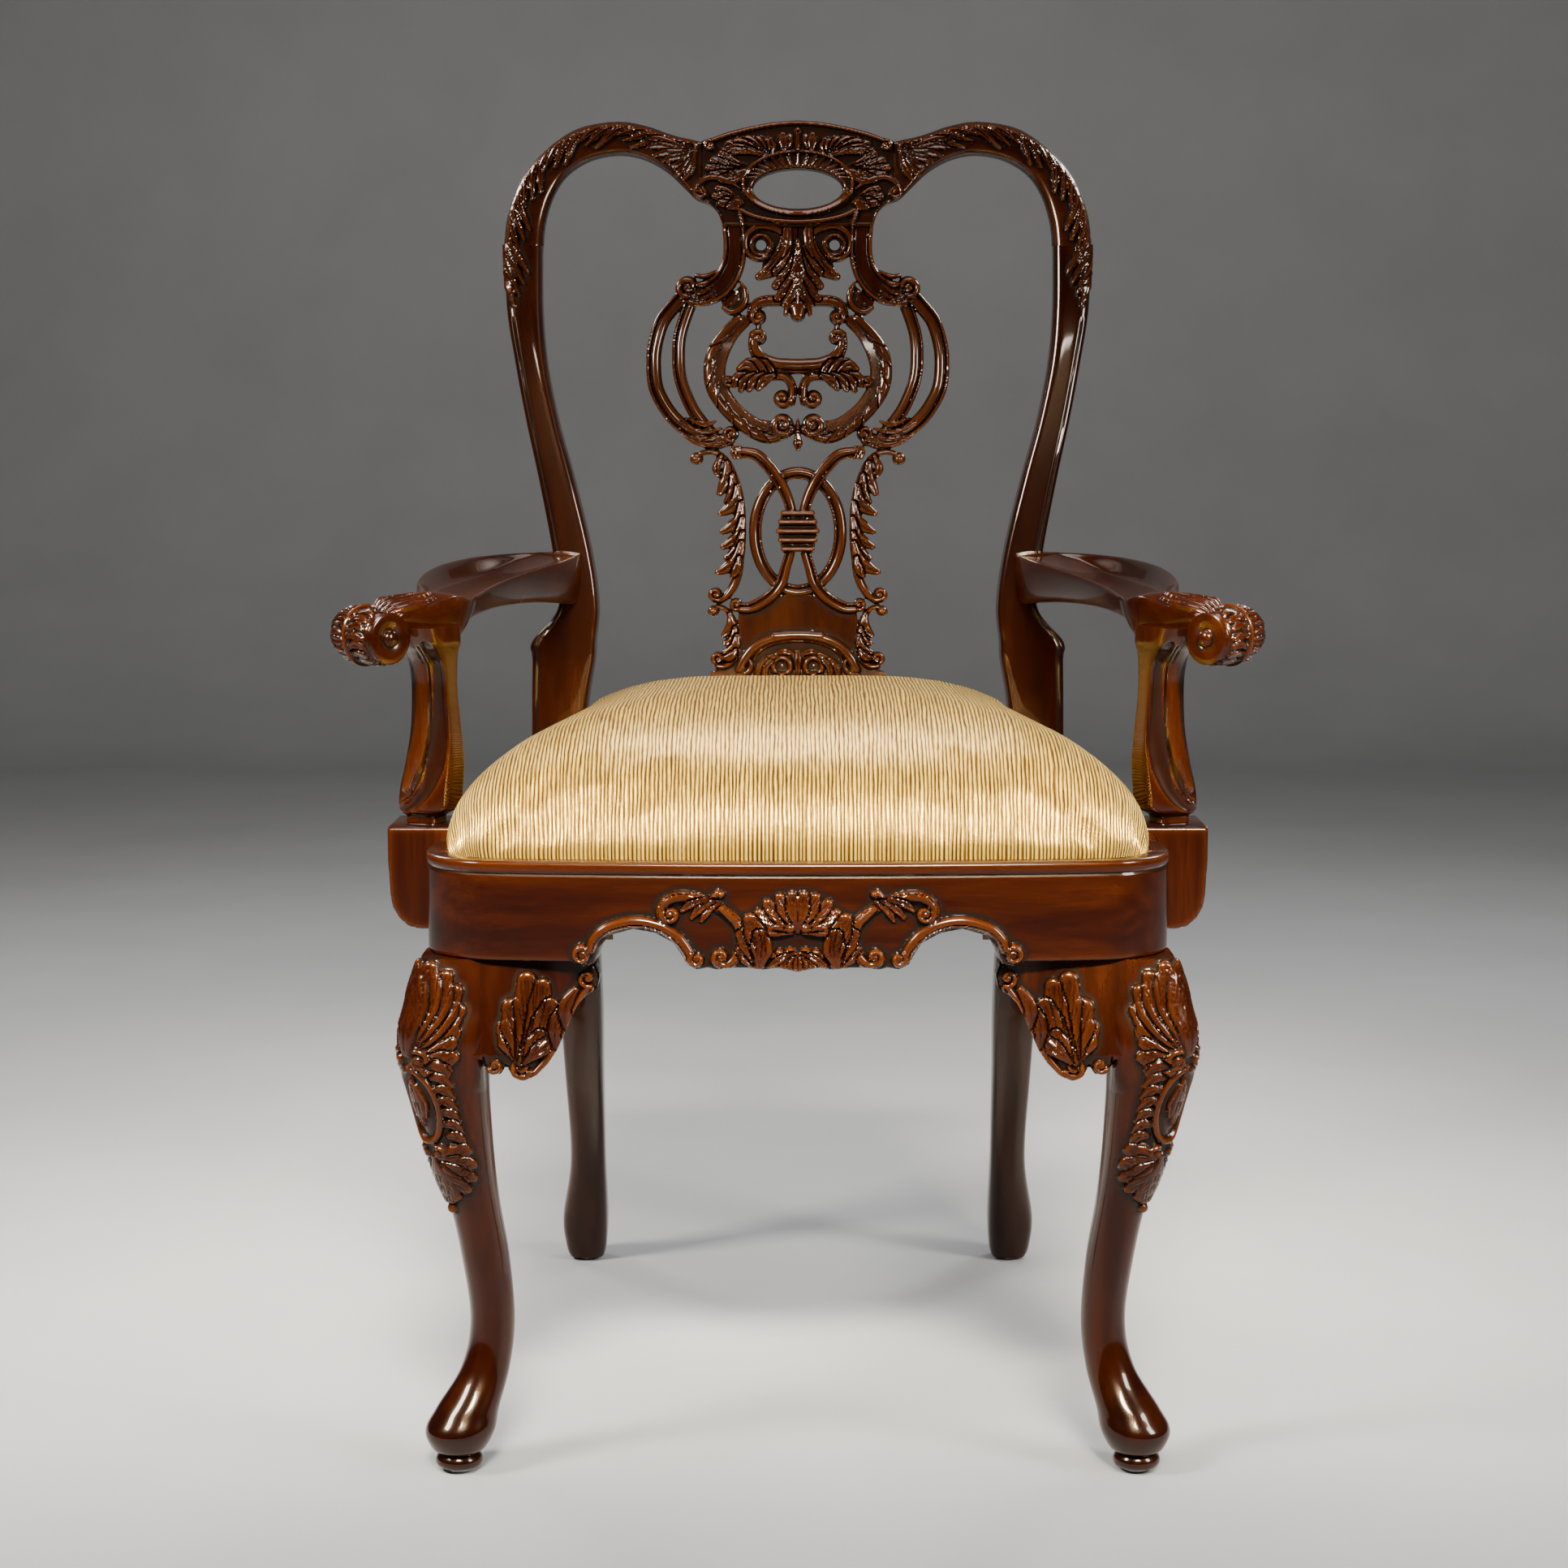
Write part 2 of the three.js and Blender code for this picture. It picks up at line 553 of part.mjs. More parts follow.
function arm(grow = 0) {
  const body = armLoft(grow);
  if (grow) return body;
  return cut(
    join(body, roll()),
    rearPost(GAP + 0.1),
    armScrew.hole,
    rod(ARM_TENON.radius + GAP, ARM_TENON.z[1] - 570 + GAP, [ARM_TENON.x, ARM_TENON.y, 570], [0, 0, 1]),
  );
}

// Arm support: [z, x, y, half width, half depth, squareness], turned to face outwards.
const SUPPORT_ROWS = [
  [BLOCK_TOP + GAP, 273, 132, 13, 11, 5], [460, 273, 132, 13, 11, 5], [466, 270.5, 131, 20, 14.5, 5],
  [480, 269.5, 130.5, 21.5, 15, 5], [499, 267, 129.5, 20, 14, 5], [523, 265, 127.5, 18.5, 12.6, 5],
  [547, 264.5, 125.5, 17.5, 12, 5], [571, 265.5, 124, 17, 12, 5], [601, 269, 124, 18, 13, 5],
];
const SUPPORT_TURN = 0.7;
const SUPPORT_DOWEL = { x: 274, y: 132.5, radius: 7 };

function armSupport() {
  const { x, y, radius } = SUPPORT_DOWEL;
  const dowel = rod(radius, 30, [x, y, BLOCK_TOP - 20], [0, 0, 1]);
  const tenon = rod(ARM_TENON.radius, ARM_TENON.z[1] - 570, [ARM_TENON.x, ARM_TENON.y, 570], [0, 0, 1]);
  return join(cut(post(SUPPORT_ROWS, 12, 13, 0, SUPPORT_TURN), arm(GAP + 0.1)), dowel, tenon);
}

const BLOCK = { y: [100, 170], outer: 298, inner: 250.5, bottom: 380 };
const blockScrews = [[118, 397], [152, 419]].map(([y, z]) => screw([229.5, y, z], [1, 0, 0], 58));

function armBlock() {
  const shape = new THREE.Shape();
  shape.moveTo(BLOCK.inner, BLOCK_TOP);
  shape.lineTo(BLOCK.inner, BLOCK.bottom);
  shape.lineTo(274, BLOCK.bottom);
  shape.bezierCurveTo(288, BLOCK.bottom + 2, 296, 390, BLOCK.outer - 2, 404);
  shape.lineTo(BLOCK.outer, BLOCK_TOP);
  const clear = RAIL_TOP + GAP;
  return cut(
    upright(shape, BLOCK.y, 1.5, 5),
    planPrism(-GAP, [300, clear], 560),
    planPrism(-MOULDING - GAP, [RAIL_TOP - MOULDING_HEIGHT - GAP, clear], 560),
    rod(SUPPORT_DOWEL.radius + GAP, 40, [SUPPORT_DOWEL.x, SUPPORT_DOWEL.y, BLOCK_TOP - 20 - GAP], [0, 0, 1]),
    ...blockScrews.map((s) => s.hole),
  );
}

// Corner blocks glued and screwed inside the seat rails.
const CORNER_Z = [385, 424];

function screwPair(x, y, z, direction, apart, length) {
  const across = new THREE.Vector3(...direction).normalize().cross(new THREE.Vector3(0, 0, 1));
  return [-1, 1].map((side) => {
    const shift = across.clone().multiplyScalar((side * apart) / 2);
    return screw([x + shift.x, y + shift.y, z], direction, length);
  });
}

const frontCornerScrews = screwPair(183, 79, 405, [1, -1, 0], 42, 44);
const rearCornerScrews = screwPair(166, 454, 405, [1, 1, 0], 20, 36);

function frontCornerBlock() {
  const outline = outlineOf([[130, 10], [260, 10], [260, 128], [226, 128], [219, 118], [144, 43], [130, 32]]);
  const body = prism(outline, CORNER_Z).intersect(planPrism(RAIL_THICKNESS + GAP, [380, 430]));
  return cut(body, ...frontCornerScrews.map((s) => s.hole));
}

function rearCornerBlock() {
  const edge = REAR_RAIL.y[0] - GAP;
  const outline = outlineOf([[230, 408], [230, edge], [134, edge], [134, 470], [144, 461], [188, 417], [193, 408]]);
  const body = prism(outline, CORNER_Z).intersect(planPrism(RAIL_THICKNESS + GAP, [380, 430]));
  return cut(body, ...rearCornerScrews.map((s) => s.hole));
}

// Drop-in seat.
const FRAME_WIDTH = 40;
const FRAME_TENON = { front: [218, 240], rear: [180, 202], z: [436, 444] };
const SEAT_CENTRE = 245;

function seatFrameRing() {
  const z = [FRAME_BOTTOM, FRAME_TOP];
  const rear = SEAT_REAR - 2 * COVER_THICKNESS;
  return cut(
    planPrism(FRAME_INSET, z, rear),
    planPrism(FRAME_INSET + FRAME_WIDTH, [z[0] - 1, z[1] + 1], rear - FRAME_WIDTH),
  );
}

const FRAME_JOINTS = { front: 58, rear: 436 };

function seatFrameEnd(front) {
  const y = front ? [-20, FRAME_JOINTS.front - GAP / 2] : [FRAME_JOINTS.rear + GAP / 2, 500];
  const joint = front ? FRAME_JOINTS.front : FRAME_JOINTS.rear;
  const reach = front ? [joint - 18, joint + 1] : [joint - 1, joint + 18];
  const x = front ? FRAME_TENON.front : FRAME_TENON.rear;
  const body = seatFrameRing().intersect(box([-300, 300], y, [400, 480]));
  return cut(body, bothSides(mortise(x, reach, FRAME_TENON.z)));
}

function seatFrameSide() {
  const y = [FRAME_JOINTS.front + GAP / 2, FRAME_JOINTS.rear - GAP / 2];
  const body = seatFrameRing().intersect(box([100, 300], y, [400, 480]));
  return join(
    body,
    box(FRAME_TENON.front, [FRAME_JOINTS.front - 18, FRAME_JOINTS.front + 3], FRAME_TENON.z),
    box(FRAME_TENON.rear, [FRAME_JOINTS.rear - 3, FRAME_JOINTS.rear + 18], FRAME_TENON.z),
  );
}

const WEBBING = { thickness: 1.4, width: 46, z: FRAME_TOP + GAP };

function seatWebbing() {
  const { thickness, width, z } = WEBBING;
  const over = z + thickness - 0.2;
  const band = (middle) => [middle - width / 2, middle + width / 2];
  const across = [115, 200, 285, 370].map((y) => box([-205 + y / 10, 205 - y / 10], band(y), [z, z + thickness]));
  const along = [-120, -40, 40, 120].map((x) => box(band(x), [22, 470], [over, over + thickness]));
  return join(...across, ...along);
}

// The cushion's dome: outlines of the plan shrunk towards the seat's centre as they rise.
function dome(inset, base, drop) {
  const right = planPoints(inset, SEAT_REAR - (inset - COVER_INSET));
  const ring = [...right, new THREE.Vector2(right.at(-1).x * 0.55, right.at(-1).y)];
  const outline = [...ring, ...ring.slice(1).reverse().map((p) => new THREE.Vector2(-p.x, p.y))];
  const turns = outline.length;
  const shoulder = RAIL_TOP + CUSHION_EDGE - drop;
  const profile = [[1, base], [1, shoulder]];
  for (const scale of [0.985, 0.96, 0.92, 0.86, 0.76, 0.62, 0.42, 0.2]) {
    profile.push([scale, shoulder + (CUSHION_CROWN - CUSHION_EDGE) * (1 - scale ** 2.6) ** (1 / 2.3)]);
  }
  return lofted(profile.length, turns, (u, p, q) => {
    const radius = Math.hypot(p, q);
    const [scale, z] = profile[Math.round(u * (profile.length - 1))];
    const turn = Math.round((Math.atan2(p, -q) / (2 * Math.PI)) * turns + turns) % turns;
    const at = outline[turn];
    const share = radius < 0.5 ? 0 : scale;
    return new THREE.Vector3(at.x * share, SEAT_CENTRE + (at.y - SEAT_CENTRE) * share, z);
  });
}

function seatCover() {
  const inside = dome(COVER_INSET + COVER_THICKNESS, FRAME_BOTTOM - 5, COVER_THICKNESS);
  return cut(dome(COVER_INSET, FRAME_BOTTOM, 0), inside);
}

function seatPadding() {
  return dome(FRAME_INSET + 0.2, WEBBING.z + 2 * WEBBING.thickness + GAP, COVER_THICKNESS + 2 * GAP);
}

const dustCover = () => planPrism(FRAME_INSET + 4, [LEDGE + GAP, LEDGE + GAP + DUST_COVER], SEAT_REAR - 5);

// The assembly. A pair is a piece and its mirror image, named _right and _left.
const chair = new THREE.Group();
const frame = new THREE.Group();
const dropInSeat = new THREE.Group();
chair.add(frame, dropInSeat);

function add(group, name, body, material) {
  const geometry = geometryOf(body).toNonIndexed();
  geometry.computeVertexNormals();
  const mesh = new THREE.Mesh(geometry, material);
  mesh.name = name;
  group.add(mesh);
}

function addPair(group, name, body, material, suffix = "") {
  add(group, `${name}_right${suffix}`, body, material);
  add(group, `${name}_left${suffix}`, mirrored(body), material);
}

addPair(frame, "rear_post", rearPost(), mahogany);
add(frame, "crest_rail", crestRail(), mahogany);
add(frame, "splat", splat(), mahogany);
add(frame, "splat_shoe", splatShoe(), mahogany);

const holes = (...screws) => screws.flat().map((s) => s.hole);
const holesBothSides = (...screws) => holes(...screws).map(bothSides);
add(frame, "rear_seat_rail", cut(rearSeatRail(), ...holesBothSides(rearCornerScrews)), mahogany);
addPair(frame, "side_seat_rail", cut(sideSeatRail(), ...holes(blockScrews, rearCornerScrews)), mahogany);
add(frame, "front_seat_rail", cut(frontSeatRail(), ...holesBothSides(blockScrews, frontCornerScrews)), mahogany);
addPair(frame, "front_leg", frontLeg(), mahogany);
addPair(frame, "front_knee_block", frontKneeBlock(), mahogany);
addPair(frame, "side_knee_block", sideKneeBlock(), mahogany);
addPair(frame, "arm", arm(), mahogany);
addPair(frame, "arm_support", armSupport(), mahogany);
addPair(frame, "arm_block", armBlock(), mahogany);
addPair(frame, "front_corner_block", frontCornerBlock(), inside);
addPair(frame, "rear_corner_block", rearCornerBlock(), inside);
addPair(frame, "front_glide", glide(FRONT_FOOT), steel);
addPair(frame, "rear_glide", glide(REAR_FOOT), steel);
addPair(frame, "arm_screw", armScrew.body, steel);
blockScrews.forEach((s, i) => addPair(frame, "arm_block_screw", s.body, steel, `_${i + 1}`));
frontCornerScrews.forEach((s, i) => addPair(frame, "front_corner_screw", s.body, steel, `_${i + 1}`));
rearCornerScrews.forEach((s, i) => addPair(frame, "rear_corner_screw", s.body, steel, `_${i + 1}`));
add(dropInSeat, "seat_frame_front", seatFrameEnd(true), inside);
add(dropInSeat, "seat_frame_rear", seatFrameEnd(false), inside);
addPair(dropInSeat, "seat_frame_side", seatFrameSide(), inside);
add(dropInSeat, "seat_webbing", seatWebbing(), jute);
add(dropInSeat, "seat_padding", seatPadding(), horsehair);
add(dropInSeat, "seat_cover", seatCover(), silk);
add(dropInSeat, "seat_dust_cover", dustCover(), cambric);

// The origin goes under the middle of the chair's box, on the floor.
const bounds = new THREE.Box3().setFromObject(chair);
chair.position.y = -(bounds.min.y + bounds.max.y) / 2;

export default chair;
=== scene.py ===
"""A carved mahogany armchair with a drop-in seat: the looks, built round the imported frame.

Shapes are worked out in millimetres, with x from the chair's middle, y back from the toes of the front
feet and z up from the floor. Pieces are made for the right side (+X) and mirrored for the left.
"""

import math

import bpy
import numpy as np
from mathutils import Euler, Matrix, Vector
from mathutils.bvhtree import BVHTree


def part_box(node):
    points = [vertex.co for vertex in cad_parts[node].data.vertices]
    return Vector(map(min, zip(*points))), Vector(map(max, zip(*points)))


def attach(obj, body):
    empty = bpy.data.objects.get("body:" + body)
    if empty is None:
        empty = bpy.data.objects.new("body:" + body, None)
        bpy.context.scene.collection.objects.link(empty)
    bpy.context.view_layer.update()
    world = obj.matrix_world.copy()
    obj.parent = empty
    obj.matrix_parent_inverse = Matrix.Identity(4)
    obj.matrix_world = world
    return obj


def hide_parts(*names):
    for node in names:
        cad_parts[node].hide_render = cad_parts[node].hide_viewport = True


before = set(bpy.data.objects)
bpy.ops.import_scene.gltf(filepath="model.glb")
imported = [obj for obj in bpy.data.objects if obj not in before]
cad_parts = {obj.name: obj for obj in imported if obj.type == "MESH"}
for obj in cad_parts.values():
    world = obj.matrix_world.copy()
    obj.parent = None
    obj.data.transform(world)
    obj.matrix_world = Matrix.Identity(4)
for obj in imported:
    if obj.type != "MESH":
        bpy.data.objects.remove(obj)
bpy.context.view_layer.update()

# The front rail's front face is 15 mm in front of the toes, which places the frame's own origin.
SHIFT_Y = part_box("front_seat_rail")[0][1] * 1000 + 15

# Heights and depths that several pieces share.
RAIL_TOP = 445
RAIL_BOTTOM = 375
LEDGE = 430  # the rebate's floor, which the drop-in seat rests on
RAKE_Y, RAKE_Z, RAKE = 490, 450, 0.00034  # the back leans away from RAKE_Y above and below RAKE_Z
CREST_JOINT = 900  # where the crest rail sits on the posts
CREST_DEPTH = 30
CREST_LAP = 6  # how far the crest's carved ends run down inside the posts' tops
CREST_GROUND = -1.8  # the flat ground of the crest's middle, against its front plane
SPLAT_TOP = 917
SPLAT_FRONT = 10
SPLAT_DEPTH = 14
STRAP_FLOOR = 5  # how far a strap's edges lie behind the splat's front plane
SPLAT_FOOT_GROUND = 3.2  # the height of the splat's solid foot on its sheet
TURN = 2 * math.pi


def rake_at(z):
    """The y of the back's front line at a height."""
    return RAKE_Y + RAKE * (np.asarray(z) - RAKE_Z) ** 2


def eased(t):
    """0 to 1 with a soft start and end."""
    return t * t * (3 - 2 * t)


def rounding(inwards, radius):
    """How much a round edge takes off, at a distance inwards from it."""
    return radius - np.sqrt(np.maximum(radius**2 - (radius - inwards) ** 2, 0))


def unit(vectors):
    return vectors / np.maximum(np.linalg.norm(vectors, axis=-1, keepdims=True), 1e-9)


# ---------------------------------------------------------------------------------------------- curves
def catmull(rows, count):
    """count rows of smooth values through the given rows, evenly spaced in row number."""
    p = np.asarray(rows, float)
    t = np.linspace(0, len(p) - 1, count)
    i = np.minimum(t.astype(int), len(p) - 2)
    f = (t - i)[:, None]
    p0, p1, p2, p3 = p[np.maximum(i - 1, 0)], p[i], p[i + 1], p[np.minimum(i + 2, len(p) - 1)]
    v0, v1 = (p2 - p0) / 2, (p3 - p1) / 2
    return (2 * p1 - 2 * p2 + v0 + v1) * f**3 + (-3 * p1 + 3 * p2 - 2 * v0 - v1) * f**2 + v0 * f + p1


def resample(points, step):
    """The same line with points evenly spaced, about step millimetres apart."""
    seg = np.linalg.norm(np.diff(points, axis=0), axis=1)
    length = np.concatenate([[0], np.cumsum(seg)])
    n = max(int(length[-1] / step), 3)
    t = np.linspace(0, length[-1], n)
    return np.stack([np.interp(t, length, points[:, k]) for k in range(points.shape[1])], 1)


def line(points, step=1.6):
    """A smooth line through points, with a point about every step millimetres."""
    p = np.asarray(points, float)
    if len(p) == 2:
        return resample(p, step)
    return resample(catmull(p, 16 * len(p)), step)


def ring(cx, cz, rx, rz, start=0.0, end=TURN, step=1.6):
    """An oval, or part of it from one angle to another."""
    t = np.linspace(start, end, 90)
    return resample(np.stack([cx + rx * np.cos(t), cz + rz * np.sin(t)], 1), step)


def turns_of(count):
    """Angles evenly spaced round a full turn."""
    return np.linspace(0, TURN, count, endpoint=False)


def oval(cx, cz, rx, rz, count):
    return [[cx + rx * math.cos(t), cz + rz * math.sin(t)] for t in turns_of(count)]


def spiral(cx, cz, radius, start, turns, inner=0.3):
    """A volute's centre line, from the outside inwards. start is in degrees; turns below 0 is clockwise."""
    t = np.linspace(0, 1, 60)
    a = math.radians(start) + t * turns * TURN
    r = radius * (1 - (1 - inner) * t)
    return resample(np.stack([cx + r * np.cos(a), cz + r * np.sin(a)], 1), 1.2)


# ------------------------------------------------------------------------------------- carved reliefs
# A stroke's profile gives its height, 0 to 1, from f, the distance from its middle line (0) to its edge (1).
# side is 1 on one side of the line and -1 on the other.
def rounded(f, side):
    return np.sqrt(np.clip(1 - f**2, 0, 1))


def strapped(f, side):
    """A rounded strap with a thin bead along one edge."""
    g = f * side
    body = rounded(np.clip(np.abs(g + 0.26) / 0.74, 0, 1), side)
    bead = 0.8 * rounded(np.clip(np.abs(g - 0.74) / 0.26, 0, 1), side)
    return np.maximum(np.maximum(body, bead), 0.34 * rounded(f, side))


def grooved(f, side):
    """A full round strap with a fine line cut near one edge."""
    g = f * side
    return rounded(f, side) ** 0.75 * (1 - 0.34 * np.exp(-(((g - 0.5) / 0.1) ** 2)))


def channelled(f, side):
    """A flat band between two beads."""
    bead = np.exp(-(((f - 0.8) / 0.14) ** 2))
    groove = np.exp(-(((f - 0.6) / 0.07) ** 2))
    return np.clip(np.clip((1 - f) / 0.08, 0, 1) * (0.62 + 0.38 * bead - 0.2 * groove), 0, 1)


def flat(f, side):
    return np.clip((1 - f) / 0.15, 0, 1)


def leaflet(f, side):
    """A leaf's finger, hollowed up its middle by one stroke of a gouge."""
    return rounded(f, side) ** 0.6 * (1 - 0.42 * np.exp(-((f / 0.42) ** 2)))


def lobe(f, side):
    """A broad leaf's lobe: full, with a fine vein up its middle."""
    return rounded(f, side) ** 0.55 * (1 - 0.26 * np.exp(-((f / 0.2) ** 2)))


class Relief:
    """Carving drawn on a sheet: its height, and the signed distance to its outline (negative inside).

    base is the height that strokes stand on, and outlined says whether they are part of the outline.
    """

    def __init__(self, a, b, outlined=True):
        self.a, self.b = np.asarray(a, float), np.asarray(b, float)
        self.height = np.zeros((len(self.b), len(self.a)))
        self.edge = np.full(self.height.shape, 60.0)
        self.base, self.outlined = 0.0, outlined

    def near(self, path, reach):
        """The sheet's part within reach of a path: distance to it, run along it (0 to 1) and side of it."""
        low, high = path.min(0) - reach, path.max(0) + reach
        c0, c1 = np.searchsorted(self.a, [low[0], high[0]])
        r0, r1 = np.searchsorted(self.b, [low[1], high[1]])
        shape = (r1 - r0, c1 - c0)
        dist, along, side = np.full(shape, 1e6), np.zeros(shape), np.ones(shape)
        if 0 in shape:
            return slice(r0, r1), slice(c0, c1), dist, along, side
        last = len(path) - 1
        for i in range(last):
            p, q = path[i], path[i + 1]
            lo, hi = np.minimum(p, q) - reach, np.maximum(p, q) + reach
            x0, x1 = np.searchsorted(self.a, [lo[0], hi[0]])
            z0, z1 = np.searchsorted(self.b, [lo[1], hi[1]])
            if x1 <= x0 or z1 <= z0:
                continue
            x = self.a[x0:x1] - p[0]
            z = (self.b[z0:z1] - p[1])[:, None]
            d = q - p
            t = np.clip((x * d[0] + z * d[1]) / max(d @ d, 1e-9), 0, 1)
            ex, ez = x - t * d[0], z - t * d[1]
            dd = ex**2 + ez**2
            view = (slice(z0 - r0, z1 - r0), slice(x0 - c0, x1 - c0))
            m = dd < dist[view]
            dist[view][m] = dd[m]
            along[view][m] = ((i + t) / last)[m]
            side[view][m] = np.where(d[0] * ez - d[1] * ex >= 0, 1.0, -1.0)[m]
        return slice(r0, r1), slice(c0, c1), np.sqrt(dist), along, side

    def stroke(self, points, width, height, profile=rounded, base=None, cut=False, outline=None, smooth=True):
        """Draws a strap, finger or groove along points. width and height may be lists, spread along it."""
        base = self.base if base is None else base
        path = line(points) if smooth else np.asarray(points, float)
        width, height = np.atleast_1d(width).astype(float), np.atleast_1d(height).astype(float)
        rows, cols, dist, along, side = self.near(path, width.max() / 2 + 3)
        if 0 in dist.shape:
            return
        if profile is leaflet and len(width) > 1:
            # a leaf's finger is widest towards its tip, which is blunt
            along = along**1.5
            width = np.append(width[:-1], max(width[-1], 0.42 * width.max()))
        half = np.interp(along, np.linspace(0, 1, len(width)), width) / 2
        half = np.maximum(half, 0.3)
        rise = np.interp(along, np.linspace(0, 1, len(height)), height)
        f = np.minimum(dist / half, 1)
        shaped = rise * profile(f, side)
        inside = dist < half
        target = self.height[rows, cols]
        if cut:
            target[inside] -= shaped[inside]
            return
        fresh = base + shaped
        if profile in (leaflet, lobe):
            # over other carving the finger lies on top, with a cut line round it
            over = inside & (target > base + 0.3 * rise)
            fresh = np.where(over, base + rise * 0.45 + 0.55 * shaped, fresh)
            rim = (dist >= half) & (dist < half + 0.8) & (target > base + 0.45 * rise)
            target[rim] = base + 0.45 * rise[rim]
            target[over] = fresh[over]
        target[inside] = np.maximum(target[inside], fresh[inside])
        if self.outlined if outline is None else outline:
            self.edge[rows, cols] = np.minimum(self.edge[rows, cols], dist - half)

    def strokes(self, spines, width, height, profile=leaflet, **more):
        """The same stroke along each of several lines."""
        for spine in spines:
            self.stroke(spine, width, height, profile, **more)

    def button(self, x, z, radius, height, **more):
        """A round knob."""
        self.stroke([[x - 0.05, z], [x + 0.05, z]], 2 * radius, height, smooth=False, **more)

    def volute(self, x, z, radius, start, turns, width, height, **more):
        """A scroll end: a strap that winds in, round a button."""
        self.stroke(spiral(x, z, radius - width / 2, start, turns), [width * 1.15, width * 0.6], height,
                    smooth=False, **more)
        self.button(x, z, radius * 0.38, height * 1.02, **more)
        if self.outlined:
            self.button(x, z, radius * 0.8, height * 0.35, **more)

    def palm(self, root, tips, height=4.6, bend=0.0, spread=1.14):
        """A broad leaf: lobes that spread from a root, side by side nearly to their tips."""
        root, tips = np.array(root, float), np.array(tips, float)
        gaps = np.linalg.norm(np.diff(tips, axis=0), axis=1)
        veins = []
        for i, tip in enumerate(tips):
            width = spread * np.mean(gaps[max(i - 1, 0):i + 1])
            along = tip - root
            along *= 1 - 0.35 * width / np.linalg.norm(along)
            middle = root + along * 0.55 + np.array([along[1], -along[0]]) * bend
            if width > 9:
                veins.append((root, middle, root + along, width))
            self.stroke([root, middle, root + along],
                        [width * 0.3, width * 0.62, width * 0.95, width * 1.08, width * 0.7],
                        [height * 0.6, height, height * 1.05, height * 0.8], lobe)
        for start, middle, end, width in veins:
            across = np.array([start[1] - end[1], end[0] - start[0]]) / np.linalg.norm(end - start)
            for side in (-0.27, 0.27):
                shift = across * width * side
                vein = [start + (middle - start) * 0.5 + shift * 0.35, middle + shift * 0.62,
                        end + shift * 0.8]
                self.stroke(vein, [0.8, 1.5, 1.2], [0.5, 1.0, 0.6], cut=True)

    def fan(self, root, fingers, width, height):
        """Fingers that spread from a root to their tips, each given as tip x, tip z and sideways bend."""
        root = np.array(root, float)
        for *tip, bend in fingers:
            along = tip - root
            across = np.array([-along[1], along[0]])
            middle = root + along * 0.5 + across * bend
            self.stroke([root + along * 0.12, middle, tip], [width * 0.45, width, width * 0.95, width * 0.3],
                        [height * 0.6, height, height * 0.8], leaflet)

    def fill(self, outline, height):
        """Fills a closed outline to a flat height, and makes it part of the sheet's outline."""
        dist = polygon_distance(np.asarray(outline, float), self.a, self.b)
        self.edge = np.minimum(self.edge, dist)
        inside = dist < 0
        self.height[inside] = np.maximum(self.height[inside], self.base + height)

    def pierce(self, outline):
        """Cuts a closed outline out of the sheet."""
        self.edge = np.maximum(self.edge, -polygon_distance(np.asarray(outline, float), self.a, self.b))

    def mirror(self):
        """Makes the left half like the right. The sheet's a runs evenly to both sides of 0."""
        self.height = np.maximum(self.height, self.height[:, ::-1])
        self.edge = np.minimum(self.edge, self.edge[:, ::-1])

    def hollow_shade(self, radius=3):
        """How far each point lies below its surroundings: above 0 in grooves, below 0 on ridges. The wood
        paints shade into the grooves and a highlight onto the ridges from it.
        """
        return blurred(self.height, radius) - self.height

    def sample(self, values, a, b):
        """values at any places, by straight lines between the sheet's points."""
        ia = np.clip(np.interp(a, self.a, np.arange(len(self.a))), 0, len(self.a) - 1.001)
        ib = np.clip(np.interp(b, self.b, np.arange(len(self.b))), 0, len(self.b) - 1.001)
        i, j = ia.astype(int), ib.astype(int)
        u, v = ia - i, ib - j
        top = values[j, i] * (1 - u) + values[j, i + 1] * u
        low = values[j + 1, i] * (1 - u) + values[j + 1, i + 1] * u
        return top * (1 - v) + low * v


def blurred(values, radius):
    """A sheet of values smoothed over radius places, by a bell curve."""
    kernel = np.exp(-(np.arange(-2 * radius, 2 * radius + 1) ** 2) / (2.0 * radius**2))
    kernel /= kernel.sum()
    pad = 2 * radius
    out = np.pad(values, pad, mode="edge")
    out = np.apply_along_axis(lambda r: np.convolve(r, kernel, mode="valid"), 0, out)
    return np.apply_along_axis(lambda r: np.convolve(r, kernel, mode="valid"), 1, out)


def polygon_distance(outline, a, b):
    """Signed distance from each place of a sheet to a closed outline, negative inside."""
    x, z = np.meshgrid(a, b)
    best = np.full(x.shape, 1e9)
    odd = np.zeros(x.shape, bool)
    for p, q in zip(outline, np.roll(outline, -1, axis=0)):
        d = q - p
        if not d.any():
            continue
        t = np.clip(((x - p[0]) * d[0] + (z - p[1]) * d[1]) / (d @ d), 0, 1)
        best = np.minimum(best, (x - p[0] - t * d[0]) ** 2 + (z - p[1] - t * d[1]) ** 2)
        if p[1] != q[1]:
            crossing = (z < p[1]) != (z < q[1])
            odd ^= crossing & (x < p[0] + (z - p[1]) * d[0] / d[1])
    return np.where(odd, -1, 1) * np.sqrt(best)


def spaced(*spans):
    """Ascending coordinates from spans of (from, to, step)."""
    parts = [np.arange(s, e, d) for s, e, d in spans]
    return np.concatenate([*parts, [spans[-1][1]]])


def even(half, step):
    """Coordinates evenly spaced to both sides of 0."""
    n = int(round(half / step))
    return np.arange(-n, n + 1) * step


# -------------------------------------------------------------------------------------------- meshes
SHARP = math.radians(38)  # wooden edges sharper than this are shaded sharp


